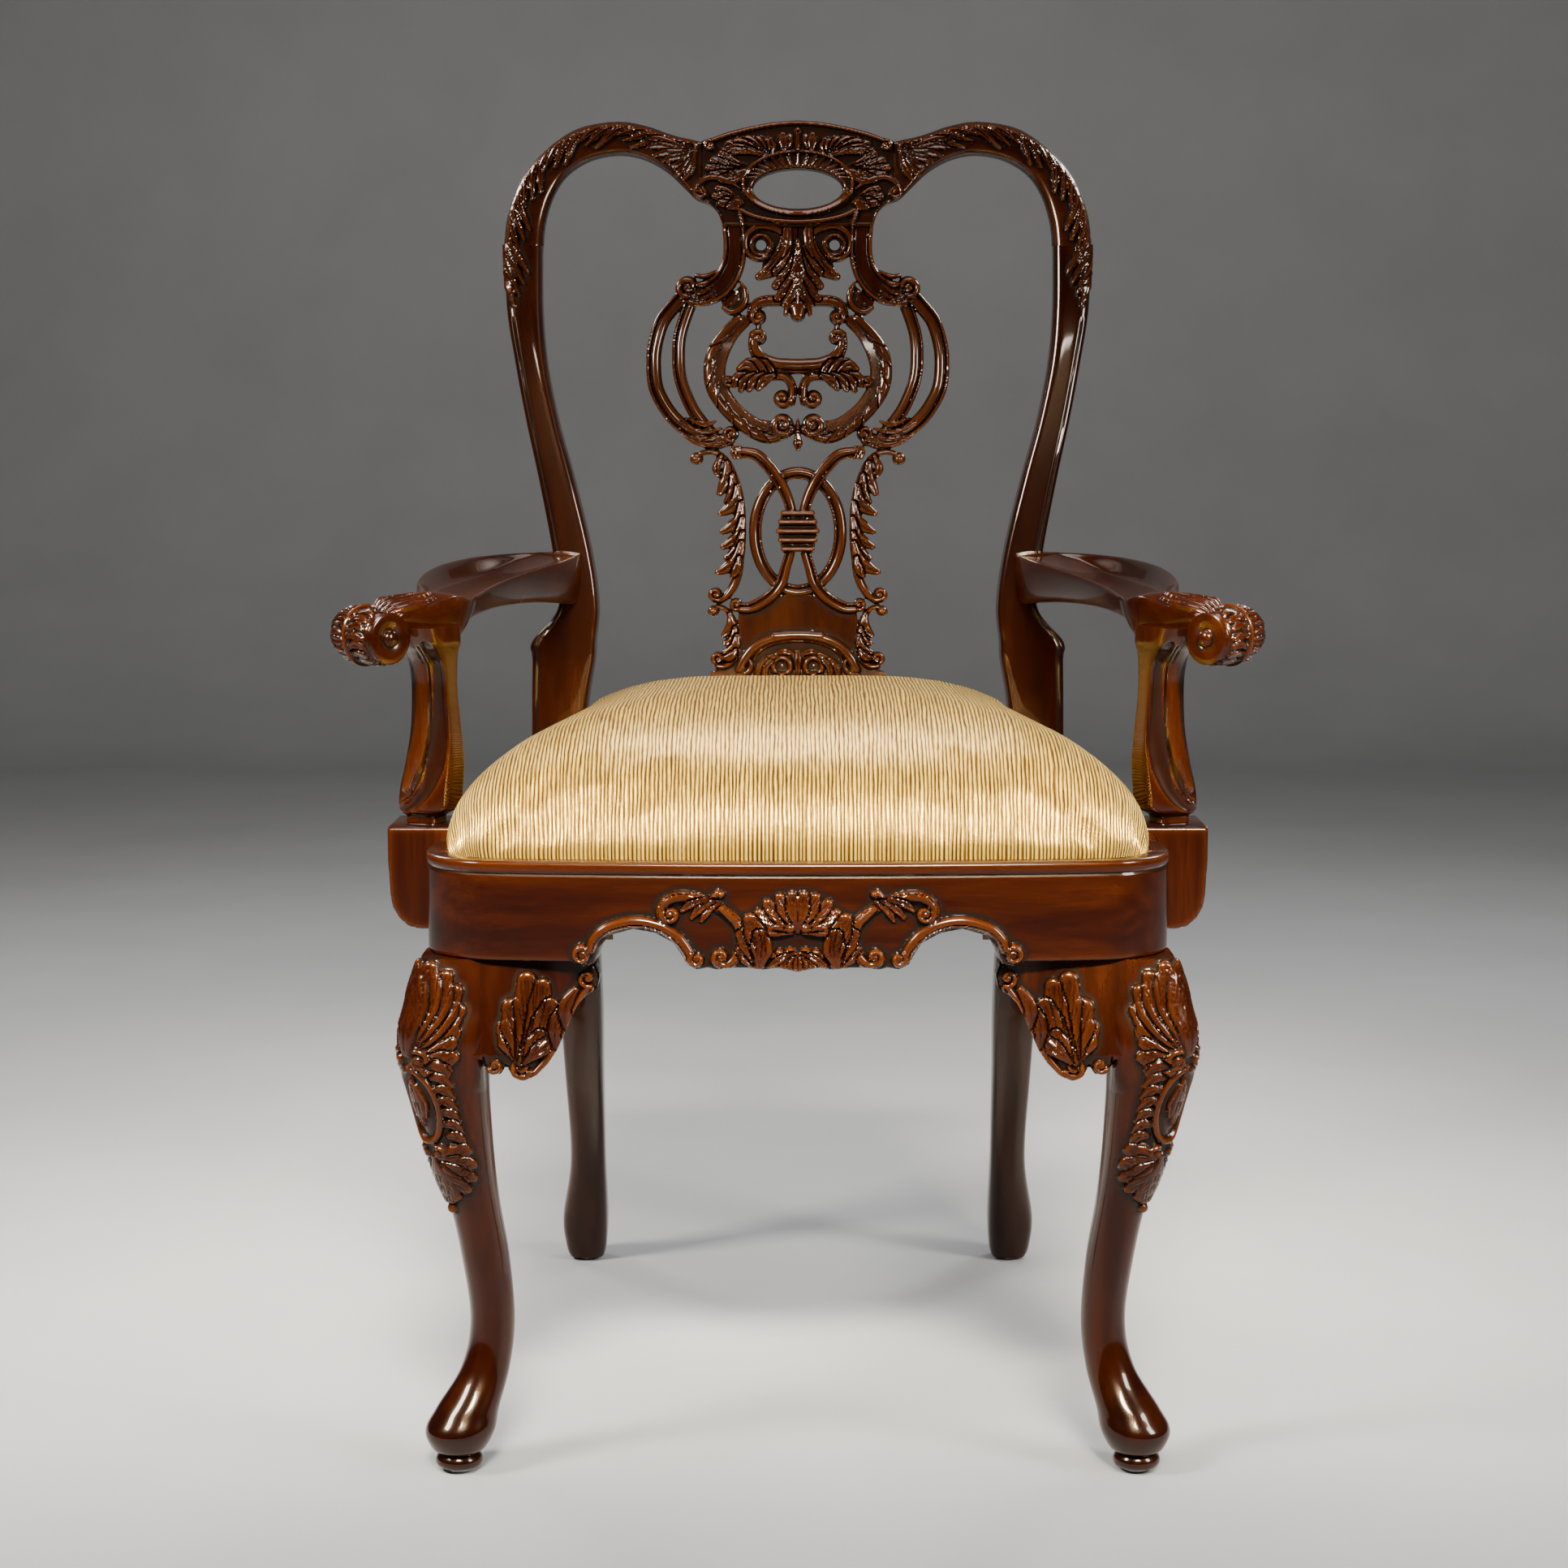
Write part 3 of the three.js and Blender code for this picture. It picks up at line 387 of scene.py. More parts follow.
def add_mesh(name, points, faces, body, stands_for):
    """Makes a Blender mesh from points in millimetres, which rides on body and replaces CAD nodes."""
    world = np.array(points, float)
    world[:, 1] += SHIFT_Y
    world /= 1000
    mesh = bpy.data.meshes.new(name)
    mesh.from_pydata(world.tolist(), [], faces)
    mesh.validate()
    mesh.update()
    mesh.polygons.foreach_set("use_smooth", [True] * len(mesh.polygons))
    obj = linked(name, mesh)
    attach(obj, body)
    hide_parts(*stands_for)
    return obj


def linked(name, data):
    obj = bpy.data.objects.new(name, data)
    bpy.context.scene.collection.objects.link(obj)
    return obj


def mark_points(mesh, name, values):
    """Gives a mesh one number per point, for its material to read."""
    mesh.attributes.new(name, "FLOAT", "POINT").data.foreach_set("value", np.asarray(values, np.float32))


class Shell:
    """A wooden piece, gathered from closed forms that are each (points, faces, hollow marks). The hollow
    marks carry painted shade for grooves and painted highlight for ridges.
    """

    def __init__(self, *forms):
        self.points = np.concatenate([points for points, _, _ in forms])
        self.marks = np.concatenate([marks for _, _, marks in forms])
        self.faces = []
        count = 0
        for points, faces, _ in forms:
            self.faces += [[i + count for i in f] for f in faces]
            count += len(points)

    def make(self, node, material, name=None, mirrored=False):
        """Makes the piece that stands for a CAD node."""
        points, faces = self.points, self.faces
        if mirrored:
            points = points * [-1, 1, 1]
            faces = [f[::-1] for f in faces]
        obj = add_mesh(name or f"{node}_carved", points, faces, "frame", [node])
        obj.data.set_sharp_from_angle(angle=SHARP)
        mark_points(obj.data, "hollow_shade", self.marks)
        obj.data.materials.append(material)

    def pair(self, node, material):
        """Makes the right piece and its mirror image."""
        for side, mirrored in (("right", False), ("left", True)):
            self.make(f"{node}_{side}", material, mirrored=mirrored)


def sheet_form(relief, place, floor, back, back_round):
    """A closed board from a relief: carved front, flat back and walls.

    place(a, b, d) gives points, where d is the distance out from the board's front plane. floor is the
    d of the relief's height 0. back is the back's d, one number or one per place of the sheet.
    """
    a, b = np.meshgrid(relief.a, relief.b)
    a, b = a.copy(), b.copy()
    edge = relief.edge
    inside = edge < 0
    cell = inside[:-1, :-1] | inside[1:, :-1] | inside[:-1, 1:] | inside[1:, 1:]
    used = np.zeros(edge.shape, bool)
    for r in (slice(0, -1), slice(1, None)):
        for c in (slice(0, -1), slice(1, None)):
            used[r, c] |= cell
    gb, ga = np.gradient(edge, relief.b, relief.a)
    size = np.maximum(np.hypot(ga, gb), 0.3)
    # places just outside the outline move onto it
    rim = used & ~inside
    a[rim] -= (edge * ga / size**2)[rim]
    b[rim] -= (edge * gb / size**2)[rim]
    height = relief.sample(relief.height, a, b)
    # the marks for the painted shade in grooves and painted highlight on ridges, on the front only
    hollow_shade = relief.sample(relief.hollow_shade(), a, b)
    front = place(a, b, floor + height)
    depth = relief.sample(back, a, b) if isinstance(back, np.ndarray) else np.full(a.shape, float(back))
    depth += rounding(np.clip(-edge, 0, back_round), back_round)
    rear = place(a, b, depth)
    index = np.full(edge.shape, -1)
    index[used] = np.arange(used.sum())
    n = int(used.sum())
    rows, cols = np.nonzero(cell)
    v00, v01 = index[rows, cols], index[rows, cols + 1]
    v10, v11 = index[rows + 1, cols], index[rows + 1, cols + 1]
    faces = np.stack([v00, v01, v11, v10], 1).tolist()
    faces += (np.stack([v10, v11, v01, v00], 1) + n).tolist()
    padded = np.pad(cell, 1)
    for dr, dc, first, second in ((-1, 0, v00, v01), (1, 0, v11, v10), (0, -1, v10, v00), (0, 1, v01, v11)):
        bare = ~padded[rows + 1 + dr, cols + 1 + dc]
        p, q = first[bare], second[bare]
        faces += np.stack([q, p, p + n, q + n], 1).tolist()
    points = np.concatenate([front[used], rear[used]])
    marks = np.concatenate([hollow_shade[used], np.zeros(n)])
    return points, faces, marks


def tube_form(grid, hollow_shade=None):
    """A closed tube from rings of points: grid is rings x around x 3, wound so that its faces look out."""
    rings, around = grid.shape[:2]
    index = np.arange(rings * around).reshape(rings, around)
    nxt = np.roll(index, -1, axis=1)
    faces = np.stack([index[:-1], nxt[:-1], nxt[1:], index[1:]], -1).reshape(-1, 4).tolist()
    points = np.concatenate([grid.reshape(-1, 3), [grid[0].mean(0), grid[-1].mean(0)]])
    marks = np.zeros(len(points))
    if hollow_shade is not None:
        marks[:-2] = hollow_shade.ravel()
    low, high = rings * around, rings * around + 1
    faces += [[low, nxt[0, i], index[0, i]] for i in range(around)]
    faces += [[high, index[-1, i], nxt[-1, i]] for i in range(around)]
    return points, faces, marks


def carved_tube(grid, sheet, a, b, where, raised=0.0, painted_shade=0.0, radius=3):
    """A tube with a sheet's carving on its skin. a and b are each point's place on the sheet, and where is
    0 at points that stay plain. raised adds to the height, and darkened to the hollow marks, as painted
    shade.
    """
    carved = sheet.sample(sheet.height, a, b) * where + raised
    hollow_shade = sheet.sample(sheet.hollow_shade(radius), a, b) * where + painted_shade
    return tube_form(grid + tube_normals(grid) * carved[..., None], hollow_shade)


def tube_normals(grid):
    around = np.roll(grid, -1, axis=1) - np.roll(grid, 1, axis=1)
    along = np.gradient(grid, axis=0)
    return unit(np.cross(around, along))


def squared(angle, power):
    """The unit circle's point at angle, pushed out towards a square."""
    c, s = np.cos(angle), np.sin(angle)
    scale = (np.abs(c) ** power + np.abs(s) ** power) ** (-1 / power)
    return c * scale, s * scale


def post_grid(rows, z, around, corners=None):
    """Rings of an upright member at heights z, from rows of [z, x, y, half width, half depth, squareness]."""
    table = catmull(rows, 40 * len(rows))
    order = np.argsort(table[:, 0])
    x, y, hx, hy, power = [np.interp(z, table[order, 0], table[order, k])[:, None] for k in range(1, 6)]
    angle = turns_of(around)[None, :]
    c, s = squared(angle, power if corners is None else corners(angle, np.asarray(z)[:, None], power))
    return np.stack([x + hx * c, y + hy * s, np.broadcast_to(np.asarray(z)[:, None], (len(z), around))], 2)


def lathe_form(profile, centre, around):
    """A turned upright form: profile of [radius, height above the centre], from bottom to top."""
    radius, rise = np.asarray(profile, float).T[:, :, None, None]
    t = turns_of(around)
    circle = np.stack([np.sin(t), -np.cos(t), 0 * t], 1)
    return tube_form(radius * circle + rise * np.array([0, 0, 1.0]) + np.asarray(centre))


# ----------------------------------------------------------------------------------------- materials
class Nodes:
    """A material's node tree, with short calls to add to it."""

    def __init__(self, name):
        self.material = bpy.data.materials.new(name)
        self.material.use_nodes = True
        self.tree = self.material.node_tree
        self.shader = self.tree.nodes["Principled BSDF"]

    def add(self, kind, inputs=(), **settings):
        node = self.tree.nodes.new(kind)
        for key, value in settings.items():
            setattr(node, key, value)
        for key, value in dict(inputs).items():
            socket = node.inputs[key]
            if isinstance(value, bpy.types.NodeSocket):
                self.tree.links.new(value, socket)
            else:
                socket.default_value = value
        return node

    def math(self, operation, a, b=0.0, clamp=False):
        return self.add("ShaderNodeMath", {0: a, 1: b}, operation=operation, use_clamp=clamp).outputs[0]

    def noise(self, vector, scale, detail=3.0, rough=0.5):
        return self.add("ShaderNodeTexNoise", {"Vector": vector, "Scale": scale, "Detail": detail,
                                               "Roughness": rough}).outputs["Fac"]

    def ramp(self, value, stops):
        node = self.add("ShaderNodeValToRGB", {"Fac": value})
        marks = node.color_ramp.elements
        marks[0].position, marks[0].color = stops[0][0], (*stops[0][1], 1)
        marks[1].position, marks[1].color = stops[-1][0], (*stops[-1][1], 1)
        for position, colour in stops[1:-1]:
            marks.new(position).color = (*colour, 1)
        return node.outputs["Color"]

    def mix(self, factor, a, b, kind="MIX"):
        node = self.add("ShaderNodeMix", data_type="RGBA", blend_type=kind)
        for socket, value in zip((node.inputs[0], node.inputs[6], node.inputs[7]), (factor, a, b)):
            if isinstance(value, bpy.types.NodeSocket):
                self.tree.links.new(value, socket)
            else:
                socket.default_value = value if isinstance(value, float) else (*value, 1)
        return node.outputs[2]

    def placed(self, scale=(1, 1, 1)):
        coordinates = self.add("ShaderNodeTexCoord").outputs["Object"]
        return self.add("ShaderNodeMapping", {"Vector": coordinates, "Scale": scale}).outputs[0]

    def attribute(self, name):
        return self.add("ShaderNodeAttribute", attribute_name=name).outputs["Fac"]

    def set(self, **values):
        for key, value in values.items():
            socket = self.shader.inputs[key.replace("_", " ")]
            if isinstance(value, bpy.types.NodeSocket):
                self.tree.links.new(value, socket)
            else:
                socket.default_value = value
        return self.material

    def bump(self, height, strength, distance):
        return self.add("ShaderNodeBump", {"Height": height, "Strength": strength,
                                           "Distance": distance}).outputs[0]


WHITE = (1.0, 1.0, 1.0)


def grained(grain, along, across):
    """A texture's scale: along the grain's axis, and across it."""
    return tuple(along if axis == grain else across for axis in range(3))


def mahogany(grain, name):
    """Polished mahogany whose grain runs along one axis, with painted shade in the carving's hollows and a
    painted highlight on its ridges.
    """
    n = Nodes(name)
    figure = n.noise(n.placed(grained(grain, 5.0, 60.0)), 1.0, 4.0, 0.6)
    pores = n.noise(n.placed(grained(grain, 28.0, 900.0)), 1.0, 2.0, 0.5)
    cloud = n.noise(n.placed(grained(grain, 1.6, 7.0)), 1.0, 3.0, 0.55)
    tone = n.math("ADD", n.math("MULTIPLY", figure, 0.5), n.math("MULTIPLY", cloud, 0.62))
    colour = n.ramp(tone, [(0.36, (0.0042, 0.0005, 0.0001)), (0.5, (0.0115, 0.0014, 0.0001)),
                           (0.62, (0.022, 0.0037, 0.0003)), (0.78, (0.047, 0.0112, 0.0008))])
    streak = n.ramp(pores, [(0.44, (0.42, 0.36, 0.34)), (0.56, WHITE)])
    colour = n.mix(0.38, colour, streak, "MULTIPLY")
    # Painted light: the carving's grooves are darkened to near black as painted shade, and its ridges
    # lightened to amber as a painted highlight.
    hollow_shade = n.attribute("hollow_shade")
    groove = n.math("MULTIPLY", hollow_shade, 1.5, clamp=True)
    ridge = n.math("MULTIPLY", hollow_shade, -0.3, clamp=True)
    colour = n.mix(ridge, colour, (0.070, 0.0172, 0.0014))
    colour = n.mix(groove, colour, (0.0025, 0.0006, 0.0003))
    rough = n.add("ShaderNodeMapRange", {"Value": cloud, "From Min": 0.3, "From Max": 0.7, "To Min": 0.2,
                                         "To Max": 0.3}).outputs[0]
    rough = n.math("ADD", rough, n.math("MULTIPLY", groove, 0.25))
    surface = n.math("ADD", n.math("MULTIPLY", pores, 0.35), n.math("MULTIPLY", figure, 0.65))
    return n.set(Base_Color=colour, Roughness=rough, Normal=n.bump(surface, 0.1, 0.0005), Coat_Weight=0.42,
                 Coat_Roughness=0.05, Specular_IOR_Level=0.15, Specular_Tint=(1.0, 0.76, 0.56, 1.0),
                 Coat_Tint=(1.0, 0.86, 0.66, 1.0))


def plain_wood(name, grain, light, dark):
    """Bare wood, for the parts that don't show."""
    n = Nodes(name)
    figure = n.noise(n.placed(grained(grain, 6.0, 70.0)), 1.0, 5.0, 0.6)
    colour = n.ramp(figure, [(0.3, dark), (0.7, light)])
    return n.set(Base_Color=colour, Roughness=0.75, Normal=n.bump(figure, 0.3, 0.001))


def steel(name):
    n = Nodes(name)
    scratch = n.noise(n.placed((300, 300, 40)), 1.0, 3.0, 0.6)
    colour = n.ramp(scratch, [(0.3, (0.30, 0.30, 0.31)), (0.7, (0.52, 0.52, 0.53))])
    rough = n.math("ADD", n.math("MULTIPLY", scratch, 0.3), 0.2)
    return n.set(Base_Color=colour, Roughness=rough, Metallic=1.0)


def webbing(name, light, dark, pitch):
    """A plain weave of coarse threads."""
    n = Nodes(name)
    wave = {"Vector": n.placed(), "Scale": pitch, "Distortion": 0.6, "Detail": 1.0}
    warp, weft = (n.add("ShaderNodeTexWave", wave, bands_direction=axis).outputs["Fac"] for axis in "XY")
    weave = n.math("MULTIPLY", warp, weft)
    return n.set(Base_Color=n.ramp(weave, [(0.1, dark), (0.6, light)]), Roughness=0.9,
                 Normal=n.bump(weave, 0.6, 0.0008))


CORD_PITCH, CORD_WANDER = 0.0029, 0.0062  # metres


def satin(name):
    """Champagne-gold satin with fine cords that run from front to back, counted off across the dome, with
    painted shade in the gaps between the cords.
    """
    n = Nodes(name)
    across, down = n.attribute("across"), n.attribute("down")

    def on_cloth(x, y):
        return n.add("ShaderNodeCombineXYZ", {"X": x, "Y": y, "Z": 0.0}).outputs[0]

    where = on_cloth(across, n.math("MULTIPLY", down, 0.12))
    wander = n.math("MULTIPLY", n.math("SUBTRACT", n.noise(where, 60.0, 4.0, 0.7), 0.5), CORD_WANDER)
    shifted = n.math("ADD", across, wander)
    cord = n.math("SINE", n.math("MULTIPLY", shifted, TURN / CORD_PITCH))
    cord = n.math("ADD", n.math("MULTIPLY", cord, 0.5), 0.5)
    thread = n.noise(on_cloth(across, n.math("MULTIPLY", down, 0.035)), 1300.0, 3.0, 0.65)
    picks = n.noise(on_cloth(n.math("MULTIPLY", across, 0.3), down), 900.0, 2.0, 0.5)
    tone = n.math("ADD", n.math("MULTIPLY", cord, 0.55), n.math("MULTIPLY", thread, 0.45))
    # the ramp's dark end is painted shade in the gaps between cords; its bright end is the cloth's own gold
    colour = n.ramp(tone, [(0.22, (0.080, 0.033, 0.004)), (0.4, (0.40, 0.205, 0.027)),
                           (0.56, (0.82, 0.49, 0.080)), (0.78, (1.0, 0.69, 0.145))])
    colour = n.mix(0.35, colour, n.ramp(picks, [(0.35, (0.62, 0.58, 0.5)), (0.6, WHITE)]), "MULTIPLY")
    height = n.math("ADD", n.math("MULTIPLY", cord, 0.75),
                    n.math("ADD", n.math("MULTIPLY", thread, 0.35), n.math("MULTIPLY", picks, 0.18)))
    return n.set(Base_Color=colour, Roughness=0.29, Normal=n.bump(height, 0.9, 0.0017), Metallic=0.72,
                 Specular_IOR_Level=0.2, Sheen_Weight=0.05, Sheen_Roughness=0.3,
                 Sheen_Tint=(1.0, 0.85, 0.6, 1.0))


GRAIN_X, GRAIN_Y, GRAIN_Z = (mahogany(axis, f"mahogany_{'xyz'[axis]}") for axis in range(3))
STEEL = steel("steel")


# ---------------------------------------------------------------------------------------------- splat
def outer_straps(r):
    """The pierced round's two side straps and the leaves that tie their lower ends."""
    r.stroke([[98, 858], [108, 847], [117, 835], [122.5, 818], [124.5, 801], [122.5, 779], [114.5, 762],
              [104, 749], [90, 738.5], [74, 731], [60, 734]], 12.7, 5.6, strapped)
    r.stroke([[90, 857], [96, 842], [101.5, 824], [103, 806], [101, 785], [92, 762], [81, 746], [73, 737]],
             11, 5.0, strapped)
    r.strokes(([[101, 748], [90, 742], [78, 740], [66, 743]], [[106, 744], [94, 736], [80, 733], [67, 736]],
               [[96, 752], [87, 748], [79, 746], [71, 749]],
               [[103, 741], [90, 731.5], [76, 728.5], [62, 731]]),
              [1.5, 4.2, 4.6, 2.4], [1.2, 2.8, 2.8, 1.5], base=4.0)
    r.volute(57.5, 738.5, 8.5, -80, 1.0, 4.6, 6.6)


def middle_ring(r):
    """The ring wrapped with leaves: a flat band inside, and a rope of long leaves outside."""
    outer = [[51, 837], [64, 823], [73, 809], [76, 794], [73.5, 777], [64.5, 762], [52.5, 749.5], [38, 739],
             [25, 734.5], [13, 737.5], [6, 742]]
    inner = [[46, 835], [56, 824], [63.5, 810], [67.5, 795], [66, 780], [58.5, 766], [48, 755], [35, 746.5],
             [22, 744]]
    r.stroke(inner, 10.5, 4.6, flat)
    r.stroke(outer, [9, 10.5, 11, 10.5, 10, 9], 6.0)
    path = line(outer)
    n = len(path)
    for t in (0.1, 0.2, 0.3, 0.42, 0.54, 0.65, 0.76, 0.86):
        k = int(t * n)
        tangent = path[min(k + 3, n - 1)] - path[k]
        tangent /= np.linalg.norm(tangent)
        across = np.array([tangent[1], -tangent[0]])
        root, tip = path[k] + across * 4.5, path[min(k + 12, n - 1)] - across * 5.0
        middle = path[min(k + 6, n - 1)] + across * 1.5
        r.stroke([root, middle, tip], [1.2, 3.4, 1.2], [0.8, 1.6, 0.7], base=5.2, outline=False)
        ahead = tangent * 2.4
        r.stroke([root + ahead, middle + ahead, tip + ahead], [0.8, 1.5, 0.8], 1.3, cut=True)
    r.volute(13.2, 746.0, 12.2, -110, 1.2, 8.4, 8.0)
    r.stroke([[0, 750], [0, 742], [0, 736]], [3, 4, 6], 4.8)
    r.stroke([[0, 739], [0, 732], [0, 725]], [5, 9, 2], [5, 6.8, 4], leaflet)


def ring_filling(r):
    """What the middle ring holds: a bracket, a smiling scroll, and two scrolls that break into leaves."""
    r.stroke([[4, 851], [16, 852.5], [28, 852.3], [36, 849], [39.5, 842]], [8, 9.5, 10, 10, 9], 6.6, grooved)
    r.volute(34.3, 838.5, 8.8, 60, -1.1, 6.2, 7.8)
    r.stroke([[34, 833], [33.6, 826]], [5, 4.6], 4.6)
    r.stroke([[38, 823], [37.6, 812], [31.5, 803], [22, 798.3], [12, 796.4], [0, 796], [-12, 796.4]],
             [8.5, 10.5, 12, 13, 13.4, 13.4], [6.6, 7.2, 7.6, 7.6], grooved)
    r.volute(33.6, 821, 8.4, 20, 1.1, 5.8, 8.0)
    r.volute(13.2, 768.3, 9.6, 190, 1.15, 6.8, 7.8)
    r.stroke([[5.0, 765], [4.6, 777], [8.2, 785], [15, 788], [24, 787.5], [33, 790.5], [45, 789],
              [54, 781.5]], [6.4, 7.8, 8.4, 8.6, 7.4, 6.4, 5.4, 4.6], [6.6, 7.2, 6.8, 5.6], grooved)
    r.strokes(([[21, 790], [27, 797], [34, 801]], [[28, 791], [36, 799], [43.4, 801]],
               [[36, 792], [44, 797], [50.6, 794]], [[46, 789], [52, 787], [55, 780]],
               [[38, 789], [46, 783], [49, 775.6]], [[30, 789], [38, 783], [42, 776]],
               [[21, 788], [29, 783.6], [34, 777]]), [5, 8, 9.2, 5.4], [5, 6.4, 6.2, 4.6], lobe)
    r.volute(60, 783.5, 6, -110, 1.0, 4.2, 6.8)
    r.stroke([[63, 780], [68, 778]], [4, 4], 4.4)


def splat_neck(r):
    """The neck under the crest: wide channelled straps that end in leafy volutes, and a comma on each."""
    r.stroke([[55.5, 918], [54.6, 903], [55, 890], [59, 877], [66.5, 866.5], [77, 860], [88, 859], [95, 862]],
             [20, 19.5, 20, 20.5, 21, 22, 22, 18], 6.2, channelled)
    r.volute(95.3, 864.5, 12, -90, 1.2, 6.0, 7.2)
    r.strokes(([[72, 861], [79, 855.5], [87, 853], [93, 856]], [[74, 866], [80, 861], [86, 859], [91, 862]],
               [[76, 869], [82, 866], [87, 865.5]], [[70, 857], [78, 851.5], [88, 848.8], [97, 852.5]]),
              [1.4, 4.2, 3.8, 2.2], [1, 2.4, 2.2, 1.4], base=4.2, outline=False)
    r.stroke([[71, 877.5], [80, 873.6], [88, 874.5]], [3.4, 5, 3.6], 5.6)
    r.fill([[47, 868], [56, 860], [66, 851], [64, 846], [54, 843], [47, 850]], 2.4)
    r.stroke([[49.7, 868.5], [45.8, 862], [45, 853.5], [49.5, 846], [57.5, 842.7], [64, 846.5]],
             [2.5, 5, 6.2, 6.6, 6.2, 4], [4.8, 5.8, 6.0, 5.2])
    r.stroke([[52, 862], [52, 855], [55, 850], [60, 848.5]], [1.5, 3, 3, 1.5], 1.8, leaflet, base=2.2,
             outline=False)


def hanging_leaf(r):
    """The acanthus that hangs from the crest, between two ringed eyes, down to its ball."""
    r.fill([[0, 918], [50, 918], [47, 905], [43, 893], [38, 888], [30, 886], [33, 877], [20, 877], [14, 862],
            [10, 846], [0, 843]], 2.0)
    r.stroke([[11, 906], [15, 912], [24, 916], [34, 916.5], [42, 912], [45.5, 904], [44, 895], [38, 889.5],
              [31.5, 888.5], [28, 891]], [5, 6.5, 7.5, 7.5, 7, 6.5, 6, 5.4, 5, 4.4],
             [5.0, 6.2, 6.4, 6.2, 5.6])
    r.stroke(ring(31.8, 900.5, 8.6, 8.6), 4.4, 5.2, smooth=False)
    r.button(27.5, 890.5, 3.2, 6.6)
    r.stroke([[9, 917], [10, 904], [13.5, 892], [20, 882.6], [27.5, 876.6], [33.6, 873.4]],
             [7, 9, 12, 14.5, 13, 7], [4.2, 5.8, 6.4, 6.2, 5.0], lobe)
    r.palm([0.5, 905], [[20.4, 874], [20.6, 862], [18.6, 851.6], [11.4, 846]], 7.2, 0.14, spread=1.0)
    r.stroke([[14, 915], [13.6, 904], [17, 894], [24, 886.4]], [0.8, 1.5, 1.5, 0.8], 1.6, cut=True)
    r.stroke([[33, 883], [29, 883.5], [24, 888]], [1.0, 1.6, 1.0], 1.4, cut=True)
    r.stroke([[30, 877.5], [24, 882], [18.5, 890]], [0.8, 1.5, 0.8], 1.5, cut=True)
    r.stroke([[0, 893], [0, 868], [0, 848]], [2.6, 4.2, 5.2], [5.6, 6.8, 7.0])
    r.stroke([[6, 848.5], [9.5, 845.5], [10.5, 841]], [4, 5, 4], 5.4)
    r.stroke([[0, 840.6], [0, 846]], [13, 16], [7.8, 7.4], smooth=False)


def ribbon_knot(r):
    """Two ribbons tied round an oval ring by a knot of five turns."""
    r.stroke(ring(0, 654.5, 36.6, 50.4), 10.8, 4.6, strapped, smooth=False)
    r.stroke([[53, 722.5], [43, 722], [34, 719], [24, 709], [15.5, 697], [9.5, 685], [6, 674], [5.4, 668]],
             [9, 10.5, 11, 10.6, 9.6, 8.6], 5.0, strapped, base=2.0)
    r.stroke([[6, 640], [7.5, 634], [10.5, 624], [14, 612], [20.5, 602.5], [30, 595], [40.5, 590],
              [49, 589.8]], [8.6, 9, 9.8, 10.4, 10.6, 9], 5.0, strapped, base=2.0)
    for x in (48.6, 51.6, 54.6):
        r.stroke([[x, 717.6], [x + 2.2, 722.5], [x + 0.6, 727.4]], 2.6, 2.2, base=5.4)
    r.volute(53, 593, 6.6, -110, 1.1, 4.4, 8.2)
    r.fill([[-13.4, 673], [13.4, 673], [17.4, 655], [13.4, 637], [-13.4, 637], [-17.4, 655]], 5.0)
    for z, half in ((670.8, 12.4), (663.2, 14.6), (655.4, 16.4), (647.8, 14.6), (640.2, 12.2)):
        r.stroke([[-half, z], [half, z]], 5.0, 4.4, base=5.0, smooth=False)


